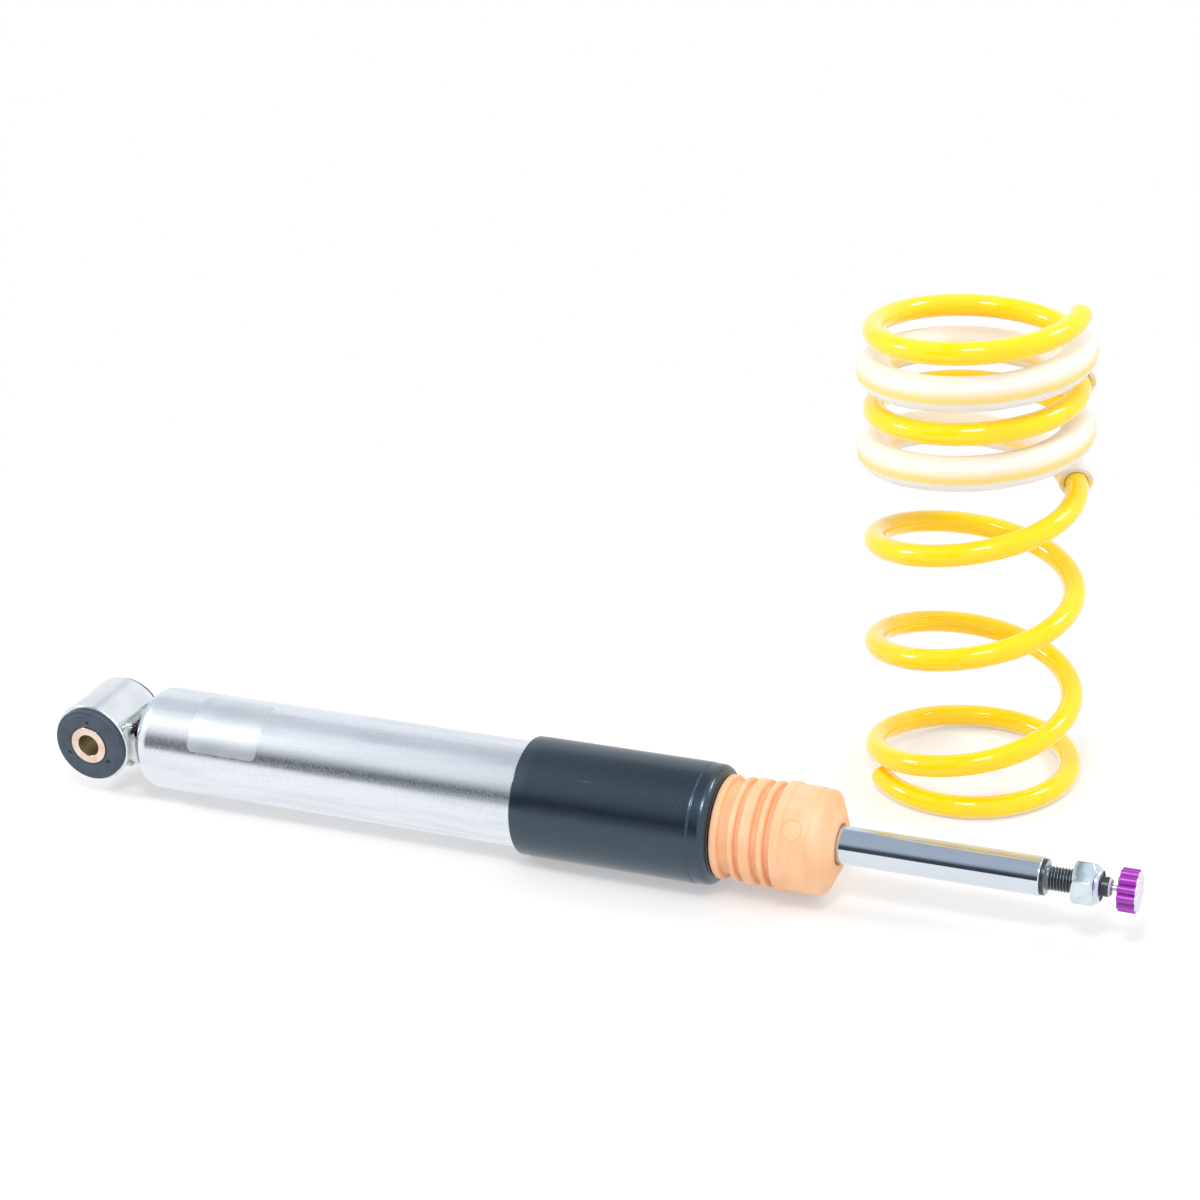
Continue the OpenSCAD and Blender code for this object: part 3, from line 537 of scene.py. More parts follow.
machined = plated("machined_steel", "b9bec4", "9ca2a9", polish=0.3, drift=14, grain=0.5,
                  stretch=(1, 0.1, 0.1))
light_alloy = plated("light_alloy", "cbd0d6", "b2b8bf", polish=0.35, drift=12, grain=0.6)
bronze = plated("bearing_bronze", "c79a55", "a87c3d", polish=0.32, drift=10, grain=0.5)
brass = plated("yellow_brass", "d9b56a", "bd964c", polish=0.25, drift=10, grain=0.5)
INNER_FINISHES = {
    machined: ["base_plug", "pressure_tube", "valve_shims", "seal_washer", "compression_shims",
               "rebound_shims", "buffer_plate", "compression_needle"],
    light_alloy: ["base_valve", "rod_guide", "piston"],
    bronze: ["guide_bush"],
    brass: ["valve_rivet", "piston_nut"],
    band_plastic: ["piston_band"],
}
for inner_finish, nodes in INNER_FINISHES.items():
    for inner in nodes:
        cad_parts[inner].data.materials.clear()
        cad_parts[inner].data.materials.append(inner_finish.material)

# ---------------------------------------------------------------- lower eye

ring_wall = 3
ring_r = top_of("eye_ring")
ring_in_r = ring_r - ring_wall
ring_y = span("eye_ring", "y")[1]
eye_ring = turned("eye_ring_shell", softened([
    (-ring_y, ring_in_r, 0.3), (-ring_y, ring_r, 0.5), (ring_y, ring_r, 0.5), (ring_y, ring_in_r, 0.3)]),
    axis="Y")
fit(eye_ring, "damper_body", "eye_steel", galvanised, "eye_ring")

# Rubber bush: a shallow shoulder near the rim and three dimples on each face
rubber_y = span("bush_rubber", "y")[1]
flange_r = top_of("bush_rubber")
bolt_hole_r = 5.2
inner_sleeve_r = 8.75
half_bush = [
    (ring_y + 0.05, ring_in_r - 0.05, 0.0), (ring_y + 0.05, flange_r - 0.2, 0.2),
    (ring_y + 1.6, flange_r, 0.4), (rubber_y - 0.5, flange_r - 0.25, 0.6),
    (rubber_y - 0.35, flange_r - 1.9, 0.3), (rubber_y, flange_r - 2.3, 0.3),
    (rubber_y, inner_sleeve_r + 1.45, 0.4), (rubber_y - 0.6, inner_sleeve_r + 0.07, 0.0)]
bush = turned("bush_moulding", softened(
    [(-y, r, rounding) for y, r, rounding in reversed(half_bush)] + half_bush), axis="Y")
dimple_r = 0.85
dimple_depth = 0.8
dimple_circle_r = 11.6
for degrees in (85, 205, 325):
    turn = math.radians(degrees)
    middle = (dimple_circle_r * math.cos(turn), dimple_circle_r * math.sin(turn))
    for side in (-1, 1):
        ends = sorted((side * (rubber_y - dimple_depth), side * (rubber_y + 1)))
        carve(bush, round_bar(dimple_r, *ends, ALONG_Y, middle, 24))
soften_edges(bush, 0.12, 60, 2)
fit(bush, "damper_body", "rubber", slate_rubber, "bush_rubber")

sleeve_y = span("bush_sleeve", "y")[1]
inner_sleeve = turned("bush_inner_sleeve", softened([
    (-sleeve_y, bolt_hole_r, 0.35), (-sleeve_y, inner_sleeve_r, 0.25),
    (sleeve_y, inner_sleeve_r, 0.25), (sleeve_y, bolt_hole_r, 0.35)]), axis="Y")
fit(inner_sleeve, "bush_sleeve", "copper_steel", coppered_finish(bolt_hole_r), "bush_sleeve")

# ---------------------------------------------------------------- neck

tube_x, tube_end_x = span("outer_tube")
neck_r = 14.5
neck_end_x = span("eye_neck")[1]
neck_wall = 3.5
flat_z = 8
window_z = 5
pocket_x = ring_r + 0.9
fillet_x = tube_x - 0.06
fillet_r = neck_r + 1.7
# Cutting tools reach this far past the neck
past = 30
neck = turned("neck_body", softened([
    (0, 0, 0), (0, neck_r, 0), (tube_x - 2.3, neck_r, 0.4), (tube_x - 0.7, fillet_r, 0.4),
    (fillet_x, fillet_r, 0.1), (fillet_x, neck_r, 0), (neck_end_x, neck_r, 0), (neck_end_x, 0, 0)]))
carve(neck, block((-1, -past, flat_z), (tube_x - 0.05, past, past)))
carve(neck, block((pocket_x, -past, window_z), (tube_x - 0.05, past, past)))
carve(neck, round_bar(ring_r + 0.05, -past, past, ALONG_Y))
carve(neck, round_bar(neck_r - neck_wall, pocket_x, neck_end_x + 1))
soften_edges(neck, 0.25)
fit(neck, "damper_body", "eye_steel", neck_zinc, "eye_neck")


def weld_bead(name, length, ripples, radius, wave):
    """A rippled bead along Y with thinner ends: each ripple is a crescent, bent towards +Y."""
    rings_per_ripple = 6
    total = ripples * rings_per_ripple
    cap = radius * 0.6
    outline = [(-length / 2 - cap, 0)]
    for step in range(total + 1):
        phase = (step % rings_per_ripple) / rings_per_ripple
        end = min(step, total - step) / rings_per_ripple
        swell = radius * min(1.0, 0.75 + 0.25 * end) + wave * (1 - abs(2 * phase - 1)) - wave / 2
        outline.append((length * (step / total - 0.5), swell))
    outline.append((length / 2 + cap, 0))
    bead = turned(name, outline, axis="Y", steps=32, smooth=80)
    bend = 0.35
    for vertex in bead.data.vertices:
        out = math.hypot(vertex.co.x, vertex.co.z)
        lean = math.atan2(vertex.co.z, vertex.co.x) - math.pi / 4
        vertex.co.y += out * bend * (1 - math.cos(lean))
    return bead


def shift(piece, x, y, z):
    """Moves a piece's mesh by millimetres."""
    piece.data.transform(Matrix.Translation(Vector((x, y, z)) * mm))
    return piece


bead_x = math.sqrt(ring_r ** 2 - flat_z ** 2)
bead = shift(weld_bead("neck_weld", 22.5, 8, 2.5, 0.5), bead_x + 0.3, 0, flat_z + 0.3)
fit(bead, "damper_body", "eye_steel", weld_zinc)
spot_y = -0.7 * neck_r
spot_z = -math.sqrt(neck_r ** 2 - spot_y ** 2)
spot_x = math.sqrt(ring_r ** 2 - spot_z ** 2)
spot_weld = shift(weld_bead("neck_weld_spot", 3.2, 1, 2.3, 0.2), spot_x, spot_y, spot_z)
fit(spot_weld, "damper_body", "eye_steel", weld_zinc)


def scalloped(name, diameter, lobes, first, last, front_bevel, back_bevel):
    """A disc along X with rounded lobes round its rim and a bevel at each face."""
    lobe_r = diameter * 0.1
    reach = diameter / 2 - lobe_r
    groove_r = diameter / 2 - lobe_r * 0.8
    piece = round_bar(diameter / 2, first + back_bevel, last - front_bevel, vertices=lobes * 14, name=name)
    for vertex in piece.data.vertices:
        turn = math.atan2(vertex.co.y, vertex.co.z)
        off = ((turn * lobes / math.tau + 0.5) % 1 - 0.5) * math.tau / lobes
        side = reach * math.sin(off)
        out = reach * math.cos(off) + math.sqrt(lobe_r ** 2 - side ** 2) if abs(side) < lobe_r else 0
        radius = max(out, groove_r) * mm
        vertex.co.y = radius * math.sin(turn)
        vertex.co.z = radius * math.cos(turn)
    for way, bevel in ((1, front_bevel), (-1, back_bevel)):
        pick_faces(piece, lambda face, way=way: face.normal.x * way > 0.9)
        bpy.ops.mesh.inset(thickness=bevel * mm, depth=bevel * mm)
        bpy.ops.object.mode_set(mode="OBJECT")
    bpy.ops.object.shade_smooth_by_angle(angle=math.radians(30))
    return piece


lobe_count = 12
needle_hole_r = 2.05
wheel_d = 17.5
wheel_x, wheel_end_x = span("compression_wheel")
wheel = scalloped("adjuster_wheel", wheel_d, lobe_count, wheel_x, wheel_end_x, 0.4, 0.4)
carve(wheel, round_bar(needle_hole_r, wheel_x - 1, wheel_end_x + 1, vertices=48))
fit(wheel, "compression_adjuster", "purple_anodised", anodised_finish("purple_wheel", "b35cc4", "8f3fa1"),
    "compression_wheel")

# ---------------------------------------------------------------- outer tube

tube_r = top_of("outer_tube")
tube_wall = 2
shoulder_round = 8
rolled_x = tube_end_x - 1.5
rolled_hole_r = 15
tube_hole_r = neck_r + 0.05
tube = turned("tube_body", softened([
    (tube_x, tube_hole_r, 0), (tube_x, tube_r, shoulder_round), (tube_end_x, tube_r, 1.2),
    (tube_end_x, rolled_hole_r, 0.4), (rolled_x, rolled_hole_r, 0.3), (rolled_x, tube_r - tube_wall, 0),
    (tube_x + tube_wall, tube_r - tube_wall, shoulder_round - tube_wall),
    (tube_x + tube_wall, tube_hole_r, 0)], 10), steps=192)
fit(tube, "damper_body", "tube_steel", silver_tube, "outer_tube")


def foil_patch(name, first, last, top, bottom, thickness=0.07, corner=3.0):
    """A thin patch with round corners, rolled onto the tube.

    It lies between two stations along X and two angles, in degrees from the top towards the front.
    """
    lifted = 0.002
    strips = 40
    start, end = math.radians(top) * tube_r, math.radians(bottom) * tube_r
    bpy.ops.mesh.primitive_plane_add(size=1, location=((first + last) / 2 * mm, -(start + end) / 2 * mm, 0))
    bpy.context.object.scale = ((last - first) * mm, (end - start) * mm, 1)
    piece = named(name)
    bpy.ops.object.mode_set(mode="EDIT")
    bpy.ops.mesh.select_all(action="SELECT")
    bpy.ops.mesh.bevel(offset=corner * mm, segments=8, affect="VERTICES")
    bpy.ops.mesh.select_all(action="SELECT")
    bpy.ops.mesh.extrude_region_move(TRANSFORM_OT_translate={"value": (0, 0, thickness * mm)})
    for index in range(1, strips):
        bpy.ops.mesh.select_all(action="SELECT")
        bpy.ops.mesh.bisect(plane_co=(0, -(start + (end - start) * index / strips) * mm, 0),
                            plane_no=(0, 1, 0))
    bpy.ops.mesh.select_all(action="SELECT")
    bpy.ops.mesh.normals_make_consistent(inside=False)
    bpy.ops.object.mode_set(mode="OBJECT")
    for vertex in piece.data.vertices:
        angle = vertex.co.y / (tube_r * mm)
        radius = (tube_r + lifted) * mm + vertex.co.z
        vertex.co.y = radius * math.sin(angle)
        vertex.co.z = radius * math.cos(angle)
    bpy.ops.object.shade_smooth_by_angle(angle=math.radians(30))
    return piece


sticker = foil_patch("foil_sticker", 54, 88.5, -4, 71)
fit(sticker, "damper_body", "tube_steel", foil)

# ---------------------------------------------------------------- rubber pieces inside the tube

rod_r = 8
seal_x, seal_end_x = span("rod_seal")
seal_r = top_of("rod_seal")
lip_r = rod_r + 0.05
between_lips_r = 9.2
seal = turned("seal_lips", softened([
    (seal_x, lip_r, 0.15), (seal_x, seal_r, 0.5), (seal_end_x, seal_r, 0.5), (seal_end_x, lip_r, 0.15),
    (seal_end_x - 1.7, lip_r, 0.2), (seal_end_x - 2.3, between_lips_r, 0.4),
    (seal_x + 2.3, between_lips_r, 0.4), (seal_x + 1.7, lip_r, 0.2)]))
fit(seal, "damper_body", "rubber", seal_rubber, "rod_seal")

oring_x, oring_end_x = span("guide_oring")
oring_r = (oring_end_x - oring_x) / 2
oring_middle = Vector(((oring_x + oring_end_x) / 2, top_of("guide_oring") - oring_r))
oring_steps = 24
oring_turns = [math.tau * step / oring_steps for step in range(oring_steps)]
oring = turned("oring_loop", [
    tuple(oring_middle + Vector((math.cos(turn), math.sin(turn))) * oring_r) for turn in oring_turns])
fit(oring, "damper_body", "rubber", seal_rubber, "guide_oring")

buffer_x, buffer_end_x = span("rebound_buffer")
buffer_r = top_of("rebound_buffer")
buffer_hole_r = rod_r + 0.06
buffer = turned("buffer_ring", softened([
    (buffer_x, buffer_hole_r, 0.3), (buffer_x, buffer_r - 0.4, 0.5), (buffer_x + 1.6, buffer_r, 0.8),
    (buffer_end_x, buffer_r - 1.2, 0.9), (buffer_end_x, buffer_hole_r, 0.3)]))
fit(buffer, "rod", "rubber", seal_rubber, "rebound_buffer")

# ---------------------------------------------------------------- dust sleeve and bump stop

cover_x, cover_end_x = span("dust_sleeve")
cover_r = top_of("dust_sleeve")
cover_wall = 2.2
cover_in_r = cover_r - cover_wall
lip_in_x = cover_end_x - cover_wall
cover_hole_r = 19.7
# The end is a little narrower past a faint step, and its face has a raised ring round the hole
step_r = cover_r - 0.28
face_x = cover_end_x - 0.5
cover = turned("sleeve_cover", softened([
    (cover_x, cover_in_r, 0.4), (cover_x, cover_r - 0.15, 0.7), (cover_x + 6, cover_r, 6),
    (cover_end_x - 8.2, cover_r, 2), (cover_end_x - 7.8, step_r, 1), (face_x, step_r, 3.4),
    (face_x, cover_hole_r + 2.5, 0.5), (cover_end_x, cover_hole_r + 1.9, 0.4),
    (cover_end_x, cover_hole_r, 0.6), (lip_in_x, cover_hole_r, 0.3), (lip_in_x, cover_in_r, 2)],
    8), steps=160)
fit(cover, "bump_stop", "black_plastic", satin_black, "dust_sleeve")

foam_x, foam_end_x = span("bump_stop")
foam_bore_r = 8.3
foot_r = cover_in_r - 0.35
foot_end_x = lip_in_x - 0.05
throat_r = cover_hole_r - 0.05
core_r = 20.1
groove_r = core_r - 0.8
head_r = top_of("bump_stop")
head_side_r = head_r - 0.9
cone_x = foam_end_x - 5.4
# Beads: start and width along the foam, height over the core
BEADS = [(11.5, 3.6, 1.9), (19.5, 2.7, 1.8), (24.3, 5.2, 2.1), (32.2, 2.9, 2.2), (37.8, 4.4, 3.0)]
foam_corners = [
    (foam_x, foam_bore_r, 0.5), (foam_x, foot_r, 2), (foot_end_x, foot_r, 0.4), (foot_end_x, throat_r, 0.1),
    (foam_x + BEADS[0][0] - 0.1, throat_r, 0.1)]
for start, width, rise in BEADS:
    near, far = foam_x + start, foam_x + start + width
    foam_corners += [(near + 0.3, core_r + rise, 1.0), (far - 0.3, core_r + rise, 1.0)]
    following = [other for other, _, _ in BEADS if other > start]
    if following:
        groove_end = foam_x + following[0]
        foam_corners += [(far + 0.1, groove_r, 0.4), (groove_end - 0.1, groove_r, 0.4)]
foam_corners += [
    (far + 0.4, head_side_r, 0.5), (cone_x - 3.6, head_side_r, 0.7), (cone_x - 3.2, head_r - 1.3, 0.4),
    (cone_x + 0.6, head_r - 1.35, 1.6), (foam_end_x, 12.1, 1.1), (foam_end_x, foam_bore_r + 0.6, 0.5),
    (foam_end_x - 1.2, foam_bore_r, 0.6)]
foam = turned("bump_foam", softened(foam_corners, 5), steps=160, smooth=50)
mould_marks = [(foam_x + 46.9, 52.7, 4.3), (foam_x + 47.3, 32.5, 1.2)]
fit(foam, "bump_stop", "foam", foam_finish(mould_marks), "bump_stop")

# ---------------------------------------------------------------- rod, stud and nut

tail_x, stud_end_x = span("piston_rod")
shoulder_x = 434.55
stud_r = 5
rod_x = span("buffer_plate")[0] - 0.05
shaft = turned("rod_shaft", softened([
    (tail_x, needle_hole_r, 0), (tail_x, stud_r - 1, 0), (tail_x + 1, stud_r, 0), (rod_x, stud_r, 0),
    (rod_x, rod_r, 0.3), (shoulder_x, rod_r, 0.4), (shoulder_x, needle_hole_r, 0)]), steps=160)
fit(shaft, "rod", "chrome", chrome, "piston_rod")


def threaded(name, corners_before, corners_after, first, last, radius, lead, depth):
    """A turned bar whose stretch between two stations carries a screw thread that fades at its ends."""
    rings_per_lead = 8
    rings = round((last - first) / lead * rings_per_lead)
    stretch = [(first + (last - first) * i / rings, radius) for i in range(rings + 1)]
    piece = turned(name, softened(corners_before) + stretch + softened(corners_after), steps=72, smooth=60)
    for vertex in piece.data.vertices:
        x, y, z = vertex.co / mm
        if first <= x <= last and abs(math.hypot(y, z) - radius) < 0.01:
            phase = (x / lead - math.atan2(z, y) / math.tau) % 1
            # Straight flanks, cut off to a narrow crest and root
            groove = min(1.0, max(0.0, 1.25 * abs(2 * phase - 1) - 0.1))
            fade = min(1.0, (x - first) / lead, (last - x) / lead)
            sink = 1 - depth * groove * fade / radius
            vertex.co.y *= sink
            vertex.co.z *= sink
    return piece


thread_lead = 1.25
thread_depth = 0.72
collar_r = 7.4
collar_end_x = shoulder_x + 1.9
tip_x = 458.35
tip_r = 4
tip_face_r = 3.3
chamfer_x = stud_end_x - 0.8
stud = threaded(
    "rod_stud",
    [(shoulder_x, needle_hole_r, 0), (shoulder_x, collar_r, 0.2), (collar_end_x, collar_r, 0.3),
     (collar_end_x + 0.2, stud_r + 0.2, 0.2)],
    [(tip_x, tip_r + 0.2, 0.1), (tip_x, tip_r, 0.1), (chamfer_x, tip_r, 0.2), (stud_end_x, tip_face_r, 0.1),
     (stud_end_x, needle_hole_r, 0)],
    collar_end_x + 0.4, tip_x - 0.7, stud_r, thread_lead, thread_depth)
fit(stud, "rod", "chrome", stud_finish(collar_end_x + 0.1, chamfer_x - 0.05, tip_face_r, stud_r),
    "piston_rod")

nut_x, nut_end_x = span("lock_nut")
hex_end_x = nut_x + 9.2
flats = 17
face_r = 8.0
nut_collar_r = 7.3
stud_hole_r = 5.05
nut = round_bar(flats / 2 / math.cos(math.radians(30)), nut_x, hex_end_x, vertices=6, name="nut_body")
# Both ends of the hexagon are turned to a cone, the steeper one under the collar
cone_rise = 3
slope = math.tan(math.radians(30))
envelope = turned("tool", [
    (nut_x, 0), (nut_x, face_r), (nut_x + slope * cone_rise, face_r + cone_rise),
    (hex_end_x - slope * cone_rise * 1.5, face_r + cone_rise), (hex_end_x, face_r), (hex_end_x, 0)], steps=96)
carve(nut, envelope, "INTERSECT")
soften_edges(nut, 0.18, 25, 2)
nut_collar = turned("tool", softened([
    (hex_end_x - 1, 0, 0), (hex_end_x - 1, nut_collar_r, 0), (nut_end_x, nut_collar_r, 1.6),
    (nut_end_x, 5.7, 0.2), (nut_end_x, 0, 0)], 8), steps=96)
carve(nut, nut_collar, "UNION")
# The hole widens to the insert's seat, and narrows a little again at the collar's rolled mouth
seat_x, seat_r = nut_end_x - 3.6, 6.3
mouth_x, mouth_r = nut_end_x - 1, 6.15
nut_hole = turned("tool", [
    (nut_x - 1, 0), (nut_x - 1, stud_hole_r), (seat_x, stud_hole_r), (seat_x, seat_r),
    (mouth_x, seat_r), (mouth_x, mouth_r), (nut_end_x + 1, mouth_r), (nut_end_x + 1, 0)], steps=80)
carve(nut, nut_hole)
# Points and slivers that the cuts left on the same place are mended
alone(nut)
bpy.ops.object.mode_set(mode="EDIT")
bpy.ops.mesh.select_mode(type="VERT")
bpy.ops.mesh.select_all(action="SELECT")
bpy.ops.mesh.remove_doubles(threshold=mm / 100)
bpy.ops.mesh.dissolve_degenerate(threshold=mm / 100)
bpy.ops.mesh.select_all(action="SELECT")
bpy.ops.mesh.fill_holes(sides=0)
bpy.ops.object.mode_set(mode="OBJECT")
bpy.ops.object.shade_smooth_by_angle(angle=math.radians(28))
fit(nut, "lock_nut", "zinc", bright_zinc, "lock_nut")

insert_x, insert_end_x = span("nut_insert")
insert_r = 6.2
insert = turned("nut_ring", softened([
    (insert_x, stud_hole_r, 0.2), (insert_x, insert_r, 0.2), (insert_end_x, insert_r, 0.2),
    (insert_end_x, stud_hole_r, 0.4)]), steps=72)
fit(insert, "nut_carrier", "blue_nylon", navy_nylon, "nut_insert")

# ---------------------------------------------------------------- rebound adjuster

needle_x, pin_end_x = span("rebound_needle")
needle_end_x = stud_end_x + 0.3
needle_r = 2
pin_r = 1.2
needle = turned("needle_pin", softened([
    (needle_x, 0, 0), (needle_x + 4, needle_r, 0.3), (needle_end_x, needle_r, 0.25),
    (needle_end_x, pin_r, 0.1), (pin_end_x, pin_r, 0.3), (pin_end_x, 0, 0)]), steps=48)
fit(needle, "rebound_adjuster", "bright_steel", bright_steel, "rebound_needle")

knob_x, knob_end_x = span("knob")
knob_bevel = 0.8
pin_hole_len = 6.6
knob = scalloped("knob_body", 2 * top_of("knob"), lobe_count, knob_x, knob_end_x, knob_bevel, 0.3)
carve(knob, round_bar(pin_r + 0.05, knob_x - 1, knob_x + pin_hole_len, vertices=48))
bpy.ops.object.shade_smooth_by_angle(angle=math.radians(30))
knob_finish = anodised_finish("purple_knob", "ba5cc7", "a24bb1", knob_end_x - knob_bevel + 0.05)
fit(knob, "knob", "purple_anodised", knob_finish, "knob")

# ---------------------------------------------------------------- spring and hoses

wire_r = 4.85
hose_r = 7.4
hose_wall = 2.45
coil_r = 43
spring_x = 371.5
spring_y = 124
spring_phase = math.radians(6)
# The solids' wire and hoses begin and end at rings, which the stations along the wire are counted in
rings_per_turn = 24
spring_turns = 178 / rings_per_turn
HOSES = [("upper_cover_hose", "upper_hose", 23), ("lower_cover_hose", "lower_hose", 71)]
# Stretches of the wire: first turn, last turn, and the drop per turn at each end
STRETCHES = [(0, 3.2, 17.4, 17.4), (3.2, 4.0, 17.4, 46.6), (4.0, 6.44, 46.6, 52.8), (6.44, 6.82, 52.8, 0)]


def drop(turn):
    """Height lost from the spring's top end to a turn, in millimetres."""
    total = 0
    for first, last, pitch_in, pitch_out in STRETCHES:
        run = min(max(turn, first), last) - first
        total += pitch_in * run + (pitch_out - pitch_in) * run ** 2 / (2 * (last - first))
    return total


wire_low, wire_high = span("coil_spring", "z")
top_z = wire_high - wire_r
squeeze = (top_z - wire_low - wire_r) / drop(spring_turns)


def wire_centre(turn):
    """Point of the wire's centre line at a turn, in millimetres."""
    angle = spring_phase - math.tau * turn
    return Vector((spring_x + coil_r * math.cos(angle), spring_y + coil_r * math.sin(angle),
                   top_z - drop(turn) * squeeze))


def wound(name, first, last, radius, capped):
    """A round bar or an open hose along the spring's wire."""
    line = bpy.data.curves.new(name, "CURVE")
    line.dimensions = "3D"
    line.twist_mode = "Z_UP"
    line.bevel_depth = radius * mm
    line.bevel_resolution = 14
    line.use_fill_caps = capped
    path = line.splines.new("POLY")
    points_per_turn = 72
    count = round((last - first) * points_per_turn)
    path.points.add(count)
    for index, point in enumerate(path.points):
        point.co = (*(wire_centre(first + (last - first) * index / count) * mm), 1)
    piece = bpy.data.objects.new(name, line)
    bpy.context.collection.objects.link(piece)
    alone(piece)
    bpy.ops.object.convert(target="MESH")
    bpy.ops.object.mode_set(mode="EDIT")
    bpy.ops.mesh.select_all(action="SELECT")
    bpy.ops.mesh.remove_doubles(threshold=mm / 1000)
    bpy.ops.mesh.normals_make_consistent(inside=False)
    bpy.ops.object.mode_set(mode="OBJECT")
    return bpy.context.object


end_bevel = 0.8
end_turn = end_bevel / (math.tau * coil_r)
spring = wound("spring_wire", end_turn, spring_turns - end_turn, wire_r, True)
# Only the two caps have more than four corners
pick_faces(spring, lambda face: len(face.vertices) > 4)
bpy.ops.mesh.inset(thickness=end_bevel * mm, depth=end_bevel * mm, use_individual=True)
bpy.ops.object.mode_set(mode="OBJECT")
bpy.ops.object.shade_smooth_by_angle(angle=math.radians(35))
fit(spring, "spring", "yellow_paint", yellow_paint, "coil_spring")


def hose(name, first):
    """One turn of hose over the wire, with each point's place between its top and underside."""
    piece = wound(name, first, first + 1, hose_r, False)
    apply(piece, "SOLIDIFY", thickness=hose_wall * mm, offset=-1)
    soften_edges(piece, 0.5, 60)
    low = piece.data.attributes.new("underside", "FLOAT", "POINT")
    for vertex, entry in zip(piece.data.vertices, low.data):
        place = vertex.co / mm
        angle = math.atan2(place.y - spring_y, place.x - spring_x)
        base = (spring_phase - angle) / math.tau % 1
        heights = (wire_centre(base + whole).z for whole in range(math.ceil(spring_turns)))
        nearest = min(heights, key=lambda z: abs(z - place.z))
        entry.value = (nearest - place.z) / hose_r
    return piece


for hose_name, hose_node, ring in HOSES:
    fit(hose(hose_name, ring / rings_per_turn), "spring", "hose", milky_hose, hose_node)

# ---------------------------------------------------------------- floor, light and camera

# The floor lies just under the part
floor_z = cad_box[0][2] - 0.05 * mm
bpy.ops.mesh.primitive_plane_add(size=8, location=(0.25, 0, floor_z))
floor = named("studio_floor")
floor_finish = Finish("pale_floor", Roughness=0.9, Specular_IOR_Level=0.0)
floor_finish.shader.inputs["Base Color"].default_value = (0.86, 0.86, 0.86, 1)
seen, glossy, through = (
    floor_finish.node("ShaderNodeLightPath", out=f"Is {ray} Ray")
    for ray in ("Camera", "Glossy", "Transmission"))
glow = floor_finish.node("ShaderNodeEmission", {}, {"Color": (1, 1, 1, 1), "Strength": 1.0})
body = Value(floor_finish, floor_finish.shader.outputs[0])
# The floor glows a little under the part, so that its shadow stays, and fully farther out
aside = (floor_finish.axis("X") - 250) * 0.6
behind = floor_finish.axis("Y") - 40
away = (aside * aside + behind * behind).root()
share = 0.4 + 0.6 * away.above(170, 420)
mirrored = 0.9
blended = floor_finish.node("ShaderNodeMixShader", {}, {
    0: seen * share + glossy * mirrored + through * mirrored, 1: body, 2: glow})
output = next(n for n in floor_finish.tree.nodes if n.type == "OUTPUT_MATERIAL")
floor_finish.tree.links.new(blended.socket, output.inputs["Surface"])
floor.data.materials.append(floor_finish.material)

world = bpy.data.worlds.new("studio")
bpy.context.scene.world = world
world.use_nodes = True
sky = Nodes(world.node_tree)
way = sky.node("ShaderNodeTexCoord", out="Generated")
x, y, z = (sky.node("ShaderNodeSeparateXYZ", {}, {0: way}, out=index) for index in range(3))
panel_white = (0.95, 0.965, 0.985, 1)
haze_grey = (0.52, 0.58, 0.66, 1)
flag_black = (0.05, 0.06, 0.08, 1)
# A dim gap between two overhead panels keeps the upper side of the sleeve and the rod darker
gap = x.between(-0.38, -0.34, -0.18, -0.12) * z.above(0.25, 0.35) * (1 - y.above(0.6, 0.8))
gap_tone = sky.mix(x.above(-0.31, -0.29), (0.03, 0.04, 0.05, 1), (0.42, 0.49, 0.58, 1))
# The sky behind is a little greyer where the silver tube mirrors it
haze = y.between(-0.05, 0.15, 0.5, 0.65) * (1 - x.above(-0.42, -0.34))
# A dark flag in front gives polished metal its dark line; a pale card before it lifts the sleeve
flag = z.between(-0.03, 0.01, 0.26, 0.66) * (1 - y.above(-0.35, -0.1))
flag = flag * x.between(-0.68, -0.58, -0.15, -0.05)
card = x.between(-0.4, -0.37, -0.31, -0.29) * (1 - z.above(0.18, 0.24))
tone = sky.mix(haze * 0.6, panel_white, haze_grey)
tone = sky.mix(gap * 0.9, tone, gap_tone)
tone = sky.mix(flag * (1 - card), tone, flag_black)
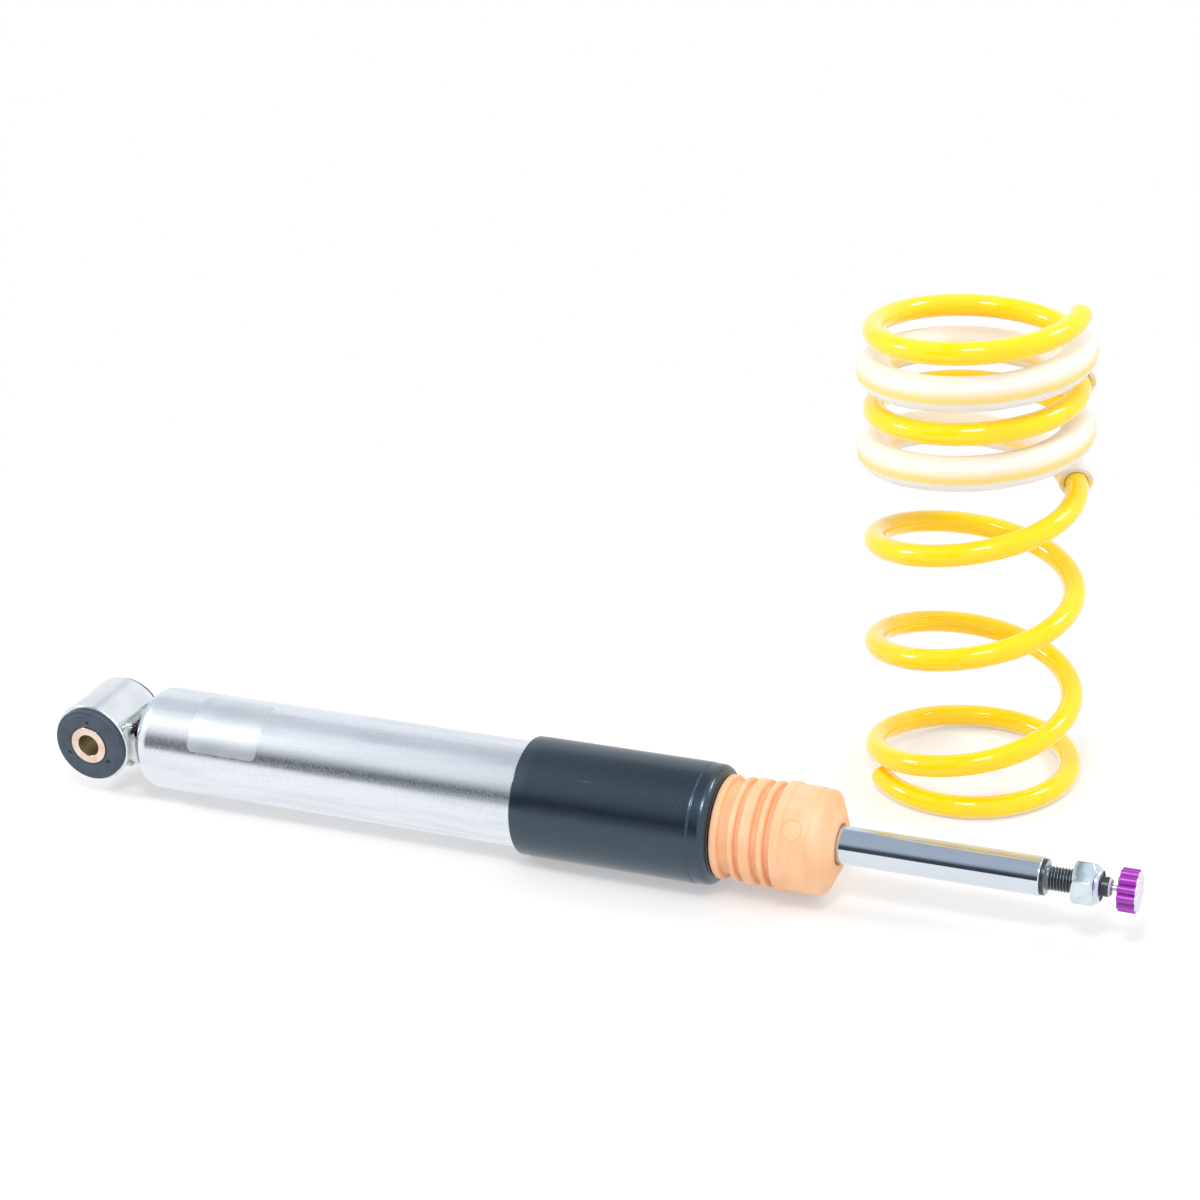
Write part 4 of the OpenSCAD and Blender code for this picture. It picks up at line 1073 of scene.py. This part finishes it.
# Seen directly, the sky is as white as the floor
tone = sky.mix(sky.node("ShaderNodeLightPath", out="Is Camera Ray"), tone, (1, 1, 1, 1))
backing = next(n for n in world.node_tree.nodes if n.type == "BACKGROUND")
world.node_tree.links.new(tone.socket, backing.inputs["Color"])
backing.inputs["Strength"].default_value = 1.0

azimuth, elevation, roll = (math.radians(a) for a in (23.90, 24.57, -3.07))
target = Vector((248.2, 0, 96.9)) * mm
distance = 1108.2 * mm
focal_pixels = 2709.9
frame_pixels = 1200
right = Vector((math.cos(azimuth), math.sin(azimuth), 0))
back = Vector((math.sin(azimuth) * math.cos(elevation), -math.cos(azimuth) * math.cos(elevation),
               math.sin(elevation)))
up = back.cross(right)
camera_right = right * math.cos(roll) + up * math.sin(roll)
camera_up = up * math.cos(roll) - right * math.sin(roll)
camera_data = bpy.data.cameras.new("camera")
camera_data.sensor_width = 36
camera_data.lens = focal_pixels * camera_data.sensor_width / frame_pixels
camera = bpy.data.objects.new("camera", camera_data)
bpy.context.collection.objects.link(camera)
camera.matrix_world = Matrix.LocRotScale(
    target + back * distance, Matrix((camera_right, camera_up, back)).transposed(), None)
bpy.context.scene.camera = camera

aim =Vector((280, 40, 50)) * mm
lamp_distance = 1300 * mm


def lamp(name, sideways, forward, upward, size, power):
    """A soft lamp aimed at the part: its direction as seen by the camera, its size in metres, watts."""
    level_back = Vector((back.x, back.y, 0)).normalized()
    direction = (right * sideways + level_back * forward + Vector((0, 0, upward))).normalized()
    data = bpy.data.lights.new(name, "AREA")
    data.shape = "RECTANGLE"
    data.size, data.size_y = size
    data.energy = power
    light = bpy.data.objects.new(name, data)
    bpy.context.collection.objects.link(light)
    light.location = aim + direction * lamp_distance
    light.rotation_euler = direction.to_track_quat("Z", "Y").to_euler()


lamp("left_softbox", -0.88, -0.12, 0.48, (0.3, 0.28), 6.0)
lamp("right_softbox", 0.72, -0.08, 0.69, (0.3, 0.28), 4.0)
lamp("top_softbox", -0.1, 0.5, 0.86, (0.34, 0.26), 5.5)

bpy.context.scene.view_settings.view_transform = "Standard"
